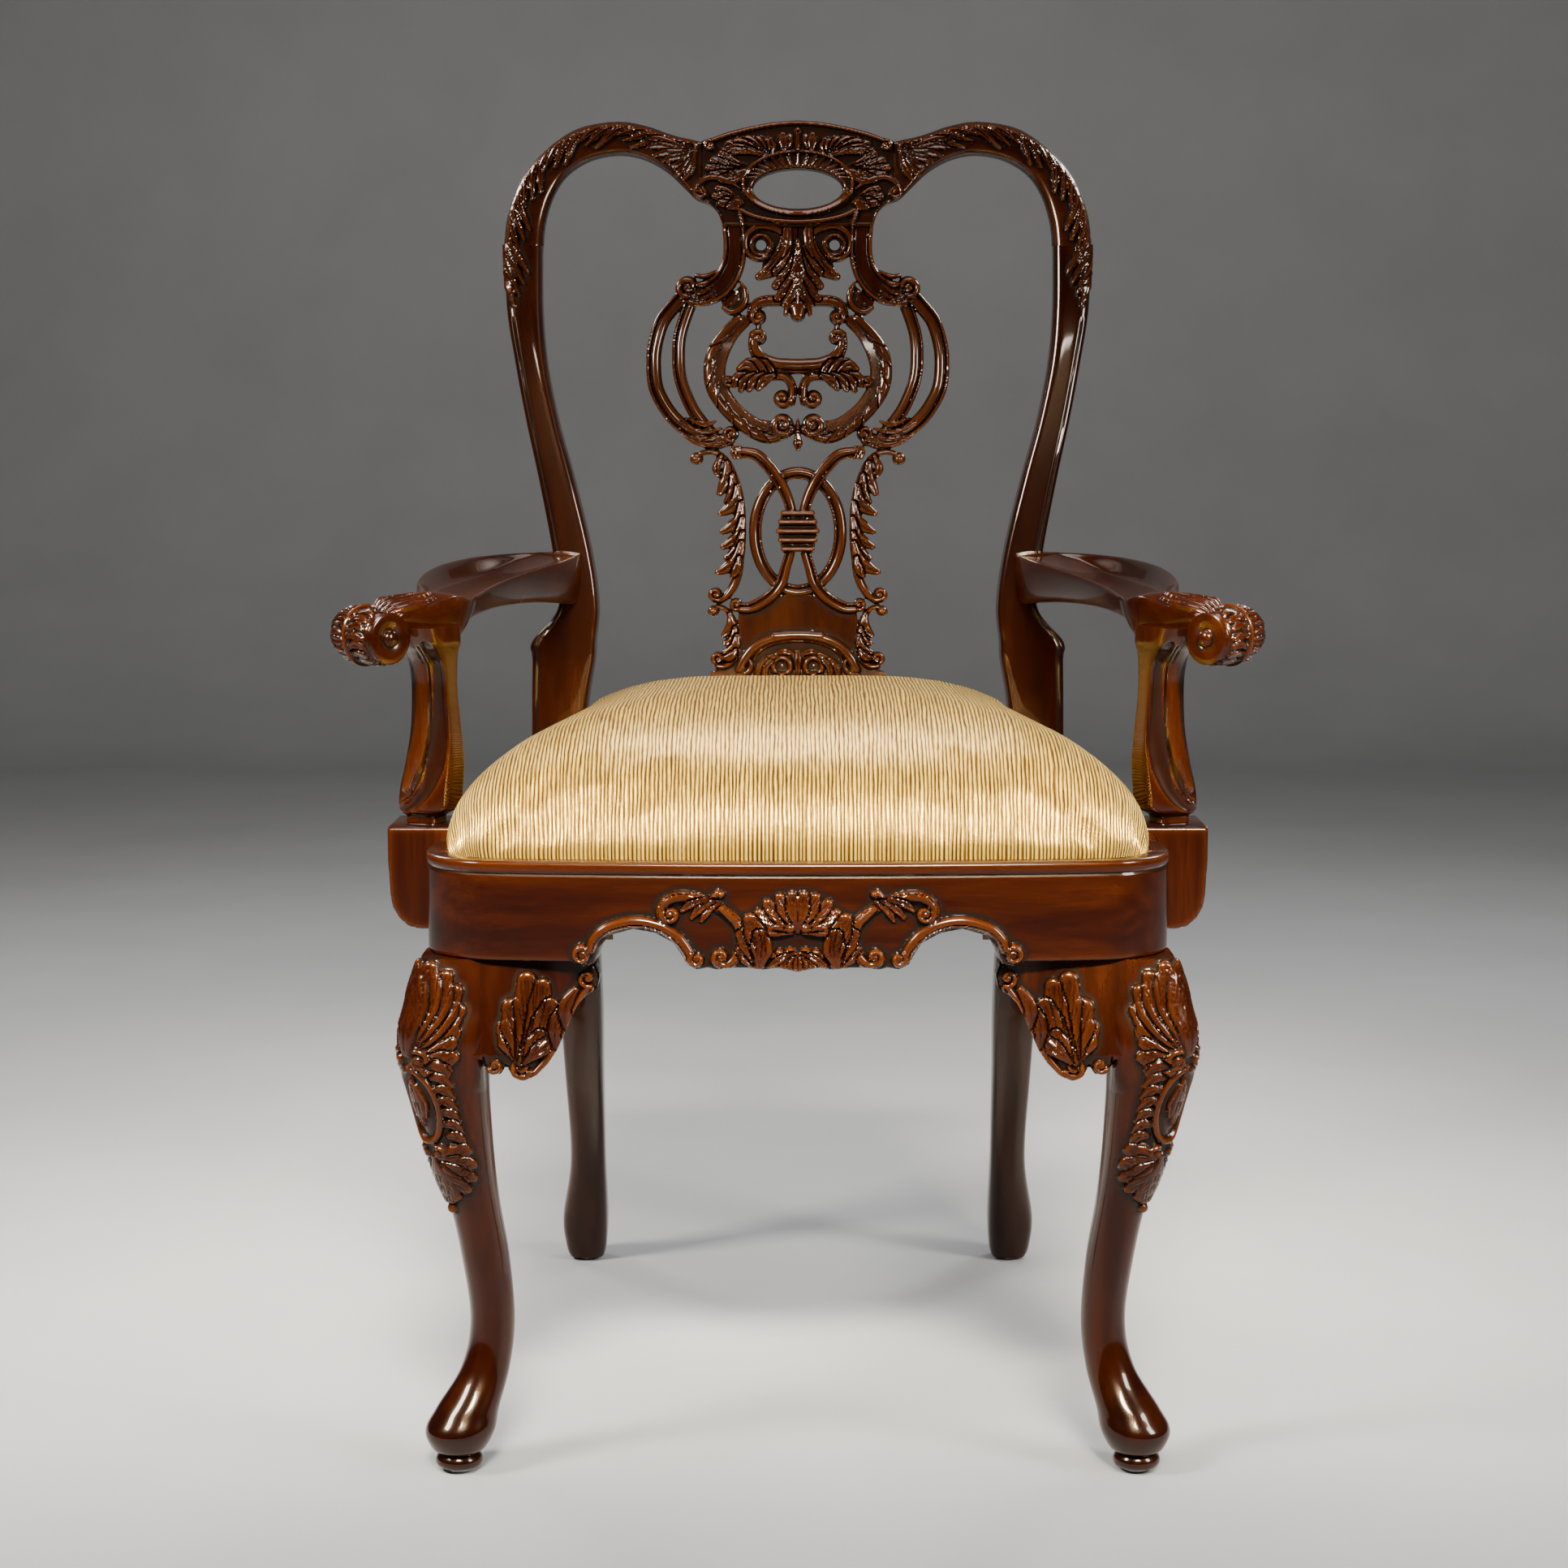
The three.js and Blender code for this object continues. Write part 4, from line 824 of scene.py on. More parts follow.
def leafy_borders(r):
    """The leaves down both sides of the oval, and the smaller ones below them."""
    r.fill([[60, 714], [64, 714], [58, 700], [60, 690], [57, 684], [58, 676], [53, 664], [57, 655], [54, 645],
            [58, 630], [56, 618], [50, 614], [45, 640], [45, 668], [50, 694]], 1.8)
    r.stroke([[83, 721.4], [76, 723], [68, 720.5], [60.5, 713.5], [54.4, 702], [50.2, 690], [47.6, 677],
              [46.8, 662], [47, 647], [48.6, 632], [51.2, 619], [55.4, 608], [61.5, 600], [67, 596.6],
              [72.5, 597.6]], [5, 6, 6.6, 6, 5.4, 5, 4.6, 4.6, 4.6, 4.8, 5.4, 7.4, 8, 7, 5.5], 5.6)
    r.button(87, 717, 5.6, 7.4)
    for root, middle, tip, width in (
            ([66, 719], [69.5, 711], [68, 702.5], 5.4), ([61, 713], [61, 700], [67, 687.6], 7.8),
            ([56, 703], [55.6, 690], [61.5, 680.5], 6.6), ([51.5, 693], [53, 680], [66, 670.6], 7.6),
            ([48.4, 679], [51, 665], [64.5, 654.8], 7.2), ([47.4, 666], [50.5, 652], [64, 642], 7.2),
            ([47.6, 654], [51, 642], [61.5, 632.6], 6.4), ([48.4, 645], [53, 630], [68.5, 620.4], 7.8),
            ([50.4, 633], [52, 624], [56.5, 616.8], 5.6)):
        droop = (np.array(middle, float) + tip) / 2 + [0.6, -1.6]
        r.stroke([root, middle, droop, tip],
                 [width * 0.75, width * 1.2, width * 1.5, width * 0.75], [4.8, 6.4, 6.4, 4.8], lobe)
    r.volute(70.5, 601.6, 7, -60, 1.1, 4.8, 7.0)
    r.stroke([[69, 590.8], [62.5, 588.4], [56.5, 581], [52.6, 570.6], [51.4, 560], [52.8, 550.4], [57, 543.4],
              [63, 539.6], [69, 540.2]], [4.4, 5, 5.4, 5, 4.8, 5.4, 6.6, 6.6, 5.4], 5.6)
    r.button(72.4, 587, 4.8, 7.4)
    r.fill([[55, 583], [60, 580], [60, 568], [60, 556], [66, 548], [60, 540], [50, 552]], 2.4)
    for root, middle, tip, width in (
            ([58, 584], [57.6, 574], [63.4, 566.6], 6.4), ([54, 573], [55.4, 563], [62.6, 559.6], 5.6),
            ([52.4, 566], [54.6, 556], [63, 552], 6.2), ([53, 554], [58, 548], [64, 547], 5.6)):
        r.stroke([root, middle, tip], [width * 0.75, width * 1.3, width * 1.4, width * 0.8],
                 [4.8, 6.2, 6, 4.8], lobe)
    r.volute(68.4, 546.6, 7, -60, 1.1, 4.6, 7.0)


def splat_foot(r):
    """The solid foot, with an arched moulding over a shell of ribs and two eyes."""
    r.fill([[0, 602], [20, 600], [34, 596], [50, 588], [52, 578], [49, 560], [52, 548], [60, 539], [75, 535],
            [75, 462], [-75, 462], [-20, 560]], SPLAT_FOOT_GROUND)
    r.base = SPLAT_FOOT_GROUND
    r.stroke([[-20, 565.3], [0, 566.3], [15, 565], [28, 561.4], [38, 555.2], [45.6, 546], [50, 537]],
             [8.4, 8.4, 8.6, 9, 9, 8], 3.4)
    r.outlined = False
    r.stroke([[-20, 560.8], [0, 561.8], [15, 560.4], [26, 557], [34.6, 551], [38.5, 545]],
             [2, 2, 2, 1.6], 1.6)
    r.stroke([[44, 549], [40, 541], [44, 534], [52, 533]], [2, 4.4, 5, 3], 2.6)
    r.stroke([[49, 545], [46, 538], [49, 532]], [2, 3.6, 2], 2.8)
    shell = [[0, 552.6], [14, 551.6], [26, 548], [34, 543], [38, 535], [38, 520], [-10, 520], [-10, 552.3]]
    r.fill(shell, 0.8)
    r.stroke(ring(13.6, 540, 7.4, 7.4), 5.2, 4.4, smooth=False)
    r.button(13.6, 540, 2.6, 1.6, base=3.0)
    for spine, width in (([[2, 546], [5, 551], [12, 552.6], [19, 551]], 5.6),
                         ([[19, 549.6], [25, 546.6], [28.6, 541]], 6.4),
                         ([[23, 544], [27.6, 538], [28.4, 530]], 6.4),
                         ([[28, 546], [33, 540], [35, 531]], 5.6),
                         ([[18, 532], [22, 527], [22.4, 520]], 6), ([[9, 531.6], [8, 526], [9, 519]], 5)):
        r.stroke(spine, [width * 0.7, width, width * 0.6], [2.6, 3.4, 2.4], leaflet, base=3.4)
    r.stroke([[0, 533], [0, 544], [0, 552.6]], [4.4, 7, 4], [3.4, 4.2, 3], leaflet, base=3.6)
    r.strokes(([[1, 532], [3.6, 527], [4.6, 520]], [[0, 532], [0, 526], [0, 519]]),
              [3, 4.4, 3], 3.0, base=3.4)
    r.base, r.outlined = 0.0, True


def splat_relief():
    r = Relief(even(133, 0.85), spaced((462, SPLAT_TOP - 0.3, 0.85)))
    for part in (outer_straps, middle_ring, ring_filling, splat_neck, hanging_leaf, ribbon_knot,
                 leafy_borders, splat_foot):
        part(r)
    r.mirror()
    for x in (-31.8, 31.8):
        r.pierce(oval(x, 900.5, 4.6, 4.6, 24))
    return r


def on_back(front, forward=0.0):
    """Places a board on the raked back, front mm behind its front line, and forward mm less at the top."""

    def place(a, b, d):
        t = np.clip((b - 868) / 44, 0, 1)
        return np.stack([a, rake_at(b) + front - forward * t * t * (3 - 2 * t) - d, b], -1)

    return place


Shell(sheet_form(splat_relief(), on_back(SPLAT_FRONT, 7.5), -STRAP_FLOOR, -SPLAT_DEPTH, 1.5)).make(
    "splat", GRAIN_Z)


# ----------------------------------------------------------------------------------------- crest rail
CREST_OUTER = [[82, 990], [94, 993], [104, 995.4], [116, 999.5], [130, 1004.5], [150, 1008.8], [168, 1008.3],
               [190, 1003.6], [208, 993.6], [226, 977.6], [238, 962], [246.5, 944], [252, 924], [254, 900],
               [253.5, 868], [250, 838]]
CREST_INNER = [[221.3, 886], [221, 900], [219, 922], [212, 945], [200, 963], [180, 975.5], [156, 980],
               [134, 976], [114, 965], [98, 950], [88, 940.5], [77, 936], [69, 928], [65.5, SPLAT_TOP]]
CREST_MIDDLE = 84  # half the width of the carved middle
CREST_OVAL = (39, 17.6)  # the opening's half width and half height
CREST_OVAL_Z = 949.6
LEAF_CLUSTERS, LEAF_PITCH, LEAF_LENGTH = 7, 41, 46


def shoulder_leaves(a, b):
    """The acanthus that runs out from the crest's middle, over the shoulder and down the post."""
    r = Relief(a, b)
    outer = resample(catmull(CREST_OUTER, 400), 1.0)
    tangent = unit(np.gradient(outer, axis=0))
    inward = np.stack([tangent[:, 1], -tangent[:, 0]], 1)

    def at(run, depth):
        """The place run along the outer edge and depth in from it."""
        k = int(np.clip(run, 0, len(outer) - 1))
        return outer[k] + inward[k] * depth + tangent[k] * min(run - k, 0)

    last = len(outer) - 8
    r.stroke([at(last - 34, 2), at(last - 16, 6), at(last - 1, 7)], [4, 8, 3], [2.4, 4.2, 2.4], lobe)
    # from the post up, so that each cluster's tips lie on the one below
    for cluster in reversed(range(LEAF_CLUSTERS)):
        start = 14 + cluster * LEAF_PITCH
        for reach, ahead in ((12.5, 19), (17.5, 10), (21.5, 0)):
            s = start + ahead
            if s + LEAF_LENGTH > last:
                continue
            spine = [(-8, 0.6), (8, 2.4), (22, 0.34 * reach), (33, 0.66 * reach), (41, 0.9 * reach),
                     (LEAF_LENGTH, reach)]
            r.stroke([at(s + run, depth) for run, depth in spine], [2.0, 4.4, 6.6, 8.0, 7.0, 2.6],
                     [1.6, 3.2, 4.6, 5.4, 4.8, 3.0])
            for aside in (-1.5, 1.5):
                groove = [at(s + run, depth + aside * min(max(run, 0) / 22, 1)) for run, depth in spine[1:-1]]
                r.stroke(groove, [1.0, 1.9, 1.3], [0.8, 2.0, 1.0], cut=True)
    r.strokes(([[92, 985], [106, 988], [118, 992], [131, 993.4]],
               [[92, 984], [106, 984.6], [119, 986.6], [130, 986]],
               [[92, 983], [105, 981], [116, 980.4], [124, 978.4]],
               [[92, 982], [102, 977.6], [111, 975.4], [117, 974]],
               [[91, 982], [98, 975], [104, 970], [109.4, 969.6]],
               [[90, 982], [94, 973], [100, 965], [106.4, 961.4]],
               [[89, 982], [91, 972], [95.4, 963], [98.6, 957.4]]),
              [2.4, 6.4, 7.4, 3.2], [2.4, 4.0, 4.0, 2.6])
    r.volute(94.6, 992, 6.2, 200, -1.1, 4.2, 5.0)
    r.stroke([[89.5, 990], [88.6, 985], [90, 979]], [2.6, 3.4, 2], 3.8)
    return r


def crest_outline():
    """The crest rail's outline, down to the posts' tops and the splat's."""
    outer = resample(catmull(CREST_OUTER, 260), 2)
    inner = resample(catmull(CREST_INNER, 200), 2)
    top = line([[0, 1009.5], [20, 1008], [40, 1004.5], [60, 999.5], [74, 994.4], [83, 991.6]], 3)
    half = np.concatenate([top, outer[outer[:, 1] > CREST_JOINT - 14][1:], inner, [[0, SPLAT_TOP]]])
    return np.concatenate([half, (half[1:-1] * [-1, 1])[::-1]])


def crest_middle(r):
    """The carving round the oval opening."""
    r.base, r.outlined = CREST_GROUND, False
    r.stroke([[-20, 1006], [0, 1007.4], [20, 1006], [40, 1002.4], [60, 997.2], [74, 992.2]], 4.0, 3.8)
    r.volute(76.4, 987.4, 6.6, 90, -1.15, 4, 5.4)
    r.stroke(ring(0, 954.6, 47.6, 27.6), 3.4, 4.8, smooth=False)
    r.stroke(ring(0, 952, 43.2, 23.2, 3.3, 6.12), 4.6, 3.6, smooth=False)
    ribs = 17
    for i in range(ribs):
        t = math.radians(4 + 172 * (i + 0.5) / ribs)
        lean = 0.14 * math.cos(t)
        root = [45 * math.cos(t), 955 + 25 * math.sin(t)]
        tip = [40.6 * math.cos(t + lean * 2), 951 + 19.2 * math.sin(t + lean * 2)]
        r.stroke([root, tip], [3.4, 3.0], [3.0, 1.6], base=-2.6, smooth=False)
    r.button(0, 1001, 3.0, 4.4)
    r.stroke([[0, 998], [0, 991], [0, 985]], [2.4, 4, 5.4], 3.4, leaflet)
    r.volute(13.6, 992.6, 6.4, 170, -1.3, 2.8, 4.0)
    r.palm([12, 980], [[6, 998], [13, 999.6]], 3.8)
    r.palm([27, 978], [[24, 994.6], [34, 996.4], [44.6, 996], [55, 994], [64, 989.6], [68.4, 982.4]],
           4.8, -0.1)
    r.palm([40, 967], [[70, 980.6], [77, 975], [81, 968], [78, 960.4], [69, 956]], 5.0, 0.08)
    r.stroke([[50, 949.4], [58, 954.6], [68, 958.6], [79, 958.6], [87, 952.6]], [2.4, 4.4, 5.2, 5.6, 5], 4.2)
    r.volute(84, 946.6, 8.0, 50, -1.25, 4.4, 5.2)
    r.palm([48, 938], [[72, 951], [75, 943.6], [70, 936.4], [62, 932.6]], 4.6)
    r.stroke([[64.4, 914], [66.4, 921], [71, 929], [78, 936.4]], 3.0, 4.4)
    r.stroke([[46.8, 914], [48.6, 924], [51.6, 932]], 3.2, 4.4)
    r.stroke([[52.6, 932], [38, 925.4], [20, 921.6], [0, 920.4], [-20, 921.6]], 4.4, 4.0)


def crest_relief():
    """The crest rail's face: rounded edges, the carved middle and the shoulders' leaves."""
    r = Relief(even(258, 0.86), spaced((CREST_JOINT - CREST_LAP - 1, 1013, 0.86)))
    x, z = np.abs(r.a)[None, :], r.b[:, None]
    outline = polygon_distance(crest_outline(), r.a, r.b)
    r.edge = np.maximum(outline, np.where(x < 70, SPLAT_TOP - z, -50))
    r.edge = np.maximum(r.edge, CREST_JOINT - CREST_LAP - z)
    # the shoulders' edges are rounder than the middle's
    reach = np.clip((x - CREST_MIDDLE) / 30, 0, 1) * 6.5 + 2.2
    r.height = -rounding(np.clip(-outline, 0, reach), reach)
    ground = (x < CREST_MIDDLE) & (r.edge < -2)
    r.height = np.where(ground, np.minimum(r.height, CREST_GROUND), r.height)
    crest_middle(r)
    leaves = shoulder_leaves(r.a, r.b)
    r.height += leaves.height * np.clip(-outline / 4, 0.15, 1)
    r.height -= np.clip((CREST_JOINT - z) / CREST_LAP, 0, 1) * 1.6
    r.mirror()
    half_width, half_height = CREST_OVAL
    r.pierce(oval(0, CREST_OVAL_Z, half_width, half_height, 72))
    beside_oval = np.hypot(x / half_width, (z - CREST_OVAL_Z) / half_height) < 1.35
    r.height -= np.where(beside_oval, rounding(np.clip(-r.edge, 0, 3.5), 3.5), 0)
    return r


Shell(sheet_form(crest_relief(), on_back(0), 0, -CREST_DEPTH, 6)).make("crest_rail", GRAIN_X)


# ---------------------------------------------------------------------------------------- rear posts
# Each row: height, x of the middle, half width, half depth and how square the section is.
POST_ROWS = [[3, 190, 15, 15, 3], [12, 190.5, 18, 18, 3], [42, 190.5, 20, 20.5, 3.5],
             [100, 186.5, 15.5, 16, 3.5], [180, 188, 17, 17.5, 4], [250, 190, 19, 19, 5],
             [375, 197.5, 21, 21, 7], [445, 204, 23.5, 21, 8], [500, 204.5, 23.5, 20, 8],
             [545, 201, 26.5, 20, 8], [562, 200.5, 27, 19.5, 8], [592, 188, 17, 19, 7],
             [638, 193.5, 16.5, 18.5, 6], [700, 207, 15.2, 18, 5], [750, 219.5, 13.8, 17, 5],
             [800, 229.5, 13.8, 16, 4], [846, 235.5, 15.5, 15.5, 4], [900, 237.5, 16.5, 15, 4]]
POST_ROWS = [[z, x, float(rake_at(z)) + hy, hx, hy, p] for z, x, hx, hy, p in POST_ROWS]
POST_LEAVES = 838  # the height at which the carving starts


def post_shell():
    rings = spaced((3, 440, 4), (440, 640, 2.0), (640, POST_LEAVES, 3),
                   (POST_LEAVES, CREST_JOINT - 0.02, 0.9))
    grid = post_grid(POST_ROWS, rings, 120)
    x, z = grid[..., 0], grid[..., 2]
    sheet = shoulder_leaves(spaced((190, 262, 0.8)), spaced((POST_LEAVES - 4, CREST_JOINT + 4, 0.8)))
    front = np.clip(-tube_normals(grid)[..., 1] * 1.6, 0, 1)
    # a line scratched down the front, just inside the outer edge: cut in 1.1 mm, with painted shade in the
    # cut
    line_x = x.max(1, keepdims=True) - 5.5
    scratch = np.exp(-(((x - line_x) / 0.9) ** 2)) * front * ((z > 455) & (z < POST_LEAVES - 2))
    return Shell(carved_tube(grid, sheet, x, z, front * (z >= POST_LEAVES), -1.1 * scratch, scratch))


post_shell().pair("rear_post", GRAIN_Z)


# --------------------------------------------------------------------------------------- seat rails
CORNER_RADIUS = 60
FRONT_BOW = 12  # how far the front rail's middle bows forward
CORNER_START = 210  # the x where the bow gives way to the corner's curve
BOW_RADIUS = (CORNER_START**2 + FRONT_BOW**2) / (2 * FRONT_BOW)
BOW_ANGLE = math.asin(CORNER_START / BOW_RADIUS)
CORNER_X = CORNER_START - CORNER_RADIUS * math.sin(BOW_ANGLE)
CORNER_Y = CORNER_RADIUS * math.cos(BOW_ANGLE)


def seat_plan():
    """The seat's outline from the front's middle round the right side: points, outward normals, distances."""
    t = np.linspace(0, BOW_ANGLE, 60)
    front = np.stack([BOW_RADIUS * np.sin(t), BOW_RADIUS - FRONT_BOW - BOW_RADIUS * np.cos(t)], 1)
    t = np.linspace(BOW_ANGLE - math.pi / 2, 0, 60)
    corner = np.stack([CORNER_X + CORNER_RADIUS * np.cos(t), CORNER_Y + CORNER_RADIUS * np.sin(t)], 1)
    s = np.linspace(0, 1, 120)[:, None]
    p = np.array([[CORNER_X + CORNER_RADIUS, CORNER_Y], [CORNER_X + CORNER_RADIUS, 130], [228, 354],
                  [222, 490]])
    side = (1 - s) ** 3 * p[0] + 3 * (1 - s) ** 2 * s * p[1] + 3 * (1 - s) * s**2 * p[2] + s**3 * p[3]
    points = np.concatenate([front, corner[1:], side[1:]])
    tangent = unit(np.gradient(points, axis=0))
    normal = np.stack([tangent[:, 1], -tangent[:, 0]], 1)
    distance = np.concatenate([[0], np.cumsum(np.linalg.norm(np.diff(points, axis=0), axis=1))])
    return points, normal, distance


PLAN, PLAN_NORMAL, PLAN_DISTANCE = seat_plan()
# The front rail ends and the side rail starts 135 mm back, measured along the plan.
SIDE_JOINT = float(np.interp(135, PLAN[60:, 1], PLAN_DISTANCE[60:]))
RAIL_GAP = 0.15  # half the gap of a joint
RAIL_EDGE = 2.0  # the radius of the rails' edges


def on_rail(a, b, d):
    """Places a sheet round the seat rails: a along the plan from the front's middle, b up, d outwards."""
    s, sign = np.abs(a), np.where(a < 0, -1, 1)
    x, y = (np.interp(s, PLAN_DISTANCE, PLAN[:, k]) for k in (0, 1))
    nx, ny = (np.interp(s, PLAN_DISTANCE, PLAN_NORMAL[:, k]) for k in (0, 1))
    return np.stack([sign * (x + nx * d), y + ny * d, b], -1)


def rail_moulding(r):
    """The bead round the rail's top edge, over a thin line."""
    z = r.b[:, None]
    bead = np.sqrt(np.clip(1 - ((z - 441.0) / 4.0) ** 2, 0, 1)) * 1.3
    line_cut = -0.8 * np.exp(-(((z - 435.6) / 0.8) ** 2))
    r.height += bead + line_cut


def rail_back(r):
    """The rail's inner face, with the rebate for the drop-in seat."""
    return np.where(r.b[:, None] < LEDGE, -34.0, -14.0) * np.ones((1, len(r.a)))


def front_rail_relief():
    """The front rail's face: the apron's outline, its carving and the moulding."""
    end = SIDE_JOINT - RAIL_GAP
    a = np.concatenate([-spaced((172, end, 2.6))[::-1], even(171.5, 0.85)[1:-1], spaced((172, end, 2.6))])
    r = Relief(a, spaced((367, 427, 0.85), (427, RAIL_TOP + 2, 0.8)), outlined=False)
    right = [[end, RAIL_TOP], [end, RAIL_BOTTOM], [158, RAIL_BOTTOM], [150, 371.5], [142, 374], [138, 385],
             [130, 394], [114, 398.5], [99, 396], [86, 389], [80, 380], [77, 374], [70, 370.5], [62, 372],
             [56, 370.5], [46, 372], [36, 372], [24, 370.5], [14, 372], [0, 369]]
    outline = np.array(right + [[-x, z] for x, z in right[-2::-1]], float)
    r.edge = polygon_distance(outline, r.a, r.b)
    # round the bottom and the top edge, not the ends
    inwards = np.clip(-r.edge, 0, RAIL_EDGE)
    ends = np.clip((np.abs(r.a) - (end - 4)) / 3, 0, 1)[None, :]
    near_top = np.clip(RAIL_TOP - r.b, 0, RAIL_EDGE)[:, None]
    r.height -= rounding(inwards * (1 - ends) + near_top * ends, RAIL_EDGE)
    flat_ground = r.height.copy()
    # the arches' straps, with a volute at both ends
    r.stroke([[150, 383], [144, 384], [141, 391], [132, 399], [114, 404], [97, 401.5], [84, 394], [76, 384],
              [74, 378]], [6.5, 8, 8.6, 8.6, 8.6, 7.6], 5.4, grooved)
    r.volute(149, 380, 8.4, 90, -1.15, 5.4, 6.0)
    r.volute(69.6, 378.5, 7.6, 40, -1.1, 5.4, 6.0)
    # the C-scrolls beside the shell
    r.stroke([[58, 378], [50, 374], [42, 380], [38, 391], [41, 403], [50, 412], [58, 419], [55, 425]],
             [5.5, 7, 8.2, 8.8, 8, 6.6, 5], 5.4, grooved)
    r.button(53, 423.6, 3.2, 5.4)
    r.stroke([[56, 414], [66, 420], [79, 422], [89, 419.5], [94.6, 412], [92, 404]], [5, 7.6, 8.6, 7.6, 6],
             5.2, grooved)
    r.volute(87.6, 409.6, 8.2, 10, -1.2, 5.2, 5.8)
    r.volute(53, 380, 7.6, -60, 1.1, 5.4, 6.0)
    r.strokes(([[54, 418], [62, 412], [66, 405]], [[58, 419], [67, 414], [73, 407]],
               [[63, 420], [73, 417], [80, 412]]), [4, 6.4, 3], [3, 4.4, 3])
    # the shell
    r.palm([0, 398], [[32, 401], [30, 411.4], [23.4, 419.6], [14, 424.6], [4.6, 426.4], [-4.6, 426.4]], 5.2)
    r.stroke([[11, 402], [19, 400], [21, 393], [21, 386], [16, 380], [10, 382]], [4, 4.8, 5, 4.8, 4], 5.0)
    for inner_z, outer_z in ((400, 401), (383, 383)):
        r.button(5.5, inner_z, 4.2, 5.6)
        r.button(12.5, outer_z, 3.4, 5.0)
    r.palm([27, 371], [[41, 388], [40, 400], [33.6, 410.6], [26, 400]], 5.0, -0.08)
    r.fan([0, 384], [(13, 371, 0.0), (6.5, 370, 0.0), (0, 369.5, 0.0), (20, 373, 0.05)], 6, 4.4)
    r.mirror()
    # the carving stays on the rail
    keep = np.clip(-r.edge / 1.2, 0, 1)
    r.height = flat_ground + (r.height - flat_ground) * keep
    rail_moulding(r)
    return r


front_cut = front_rail_relief()
Shell(sheet_form(front_cut, on_rail, 0, rail_back(front_cut), 0)).make("front_seat_rail", GRAIN_X)


def side_rail_shell():
    start, end = SIDE_JOINT + RAIL_GAP, PLAN_DISTANCE[-1] - 0.3
    r = Relief(spaced((start, end, 4)), spaced((RAIL_BOTTOM - 1, 427, 2), (427, RAIL_TOP + 2, 0.8)))
    r.edge = np.maximum(np.maximum(RAIL_BOTTOM - r.b, r.b - RAIL_TOP)[:, None],
                        np.maximum(start - r.a, r.a - end)[None, :] - 0.05)
    for inwards in (r.b - RAIL_BOTTOM, RAIL_TOP - r.b):
        r.height -= rounding(np.clip(inwards, 0, RAIL_EDGE), RAIL_EDGE)[:, None]
    rail_moulding(r)
    return Shell(sheet_form(r, on_rail, 0, rail_back(r), 0))


side_rail_shell().pair("side_seat_rail", GRAIN_Y)


# --------------------------------------------------------------------------------------- front legs
# Each row: height, x and y of the middle, half width, half depth and how square the section is.
LEG_ROWS = [[14, 243, 27, 15, 15, 2], [18, 243, 27, 20, 20, 2], [30, 242, 28, 25, 25, 2],
            [44, 237, 33, 22.5, 22.5, 2], [71, 225, 44, 17.5, 17.5, 2], [105, 220, 48, 16, 16, 2],
            [151, 224, 45, 17, 17, 2.2], [198, 231.5, 38, 18, 18, 2.6], [245, 240, 30, 23, 23, 3],
            [309, 248, 25, 29, 29, 3.5], [345, 243, 30, 28.5, 28.5, 4], [374.7, 238, 33, 26, 26, 4]]


def leg_corners(angle, z, power):
    """Above the knee the leg squares up to its brackets, but stays round at its outer front corner."""
    away = 1 - np.exp(-((((angle - math.radians(315) + math.pi) % TURN - math.pi) / 0.75) ** 2))
    return power + (9 - power) * away * np.clip((z - 280) / 30, 0, 1)


def knee_relief():
    """The knee's carving: across, along the skin from the leg's outer front corner; up, the height."""
    r = Relief(even(58, 0.8), spaced((184, 376, 0.8)))
    r.palm([2, 309], [[38.5, 327], [37.5, 343], [31, 357], [20.5, 367.5], [7, 373.5], [-7, 373.5]], 4.8, 0.12)
    r.palm([9, 308], [[37, 319], [38, 308], [31, 297], [22, 292]], 4.8, 0.1)
    r.volute(9.5, 305, 9.5, 100, -1.15, 5.4, 5.2)
    r.stroke(ring(0, 272, 14.5, 27), 5.2, 4.2, smooth=False)
    r.stroke([[0, 300], [0, 288], [0, 278]], [4, 5, 7], [3.4, 3.8, 3.8], leaflet)
    r.strokes(([[0, 290], [-1.5, 274], [0, 258]], [[2, 286], [5.5, 275], [4.5, 264]]), [4, 6, 3], 3.4)
    for i in range(7):
        z = 297 - i * 8.6
        r.stroke([[16, z + 4], [22, z + 4.4], [27.6 - 0.5 * i, z - 1]], [5, 8, 8.6, 5.4],
                 [2.6, 4.2, 4.2, 3.2], lobe)
    r.palm([1, 233], [[29, 241], [29.5, 228], [25, 215.6], [17, 205.6], [7, 199], [-3, 196.6]], 4.8, 0.1)
    r.volute(6.5, 237, 6.5, 100, -1.1, 4.2, 4.8)
    r.button(0, 193, 4, 4.6)
    r.mirror()
    return r


def leg_shell():
    rings, around = spaced((14, 60, 1.6), (60, 186, 3), (186, 374.7, 0.85)), 232
    grid = post_grid(LEG_ROWS, rings, around, leg_corners)
    # across: each point's distance along the skin from the outer front corner
    step = np.linalg.norm(np.roll(grid, -1, axis=1) - grid, axis=2)
    order = (round(around * 7 / 8) + np.arange(around)) % around
    run = np.concatenate([np.zeros((len(rings), 1)), np.cumsum(step[:, order], axis=1)], axis=1)
    total = run[:, -1:]
    across = np.empty_like(step)
    across[:, order] = run[:, :-1]
    across = np.where(across > total / 2, across - total, across)
    z = grid[..., 2]
    where = (np.abs(across) < 57) & (z >= 187)
    # a bead down the back edge from the bracket
    bead = np.exp(-(((np.abs(across) - total * 0.33) / 2.0) ** 2)) * np.clip((z - 185) / 40, 0, 1)
    bead = 1.5 * bead * np.clip((345 - z) / 20, 0, 1)
    disc = [[0, 0], [13, 0], [15.6, 1.2], [16.8, 3.4], [17, 5.5], [16.2, 8], [14.4, 9.8], [13.4, 11.2],
            [13.6, 14], [0, 14]]
    return Shell(carved_tube(grid, knee_relief(), across, z, where, bead), lathe_form(disc, (243, 27, 3), 48))


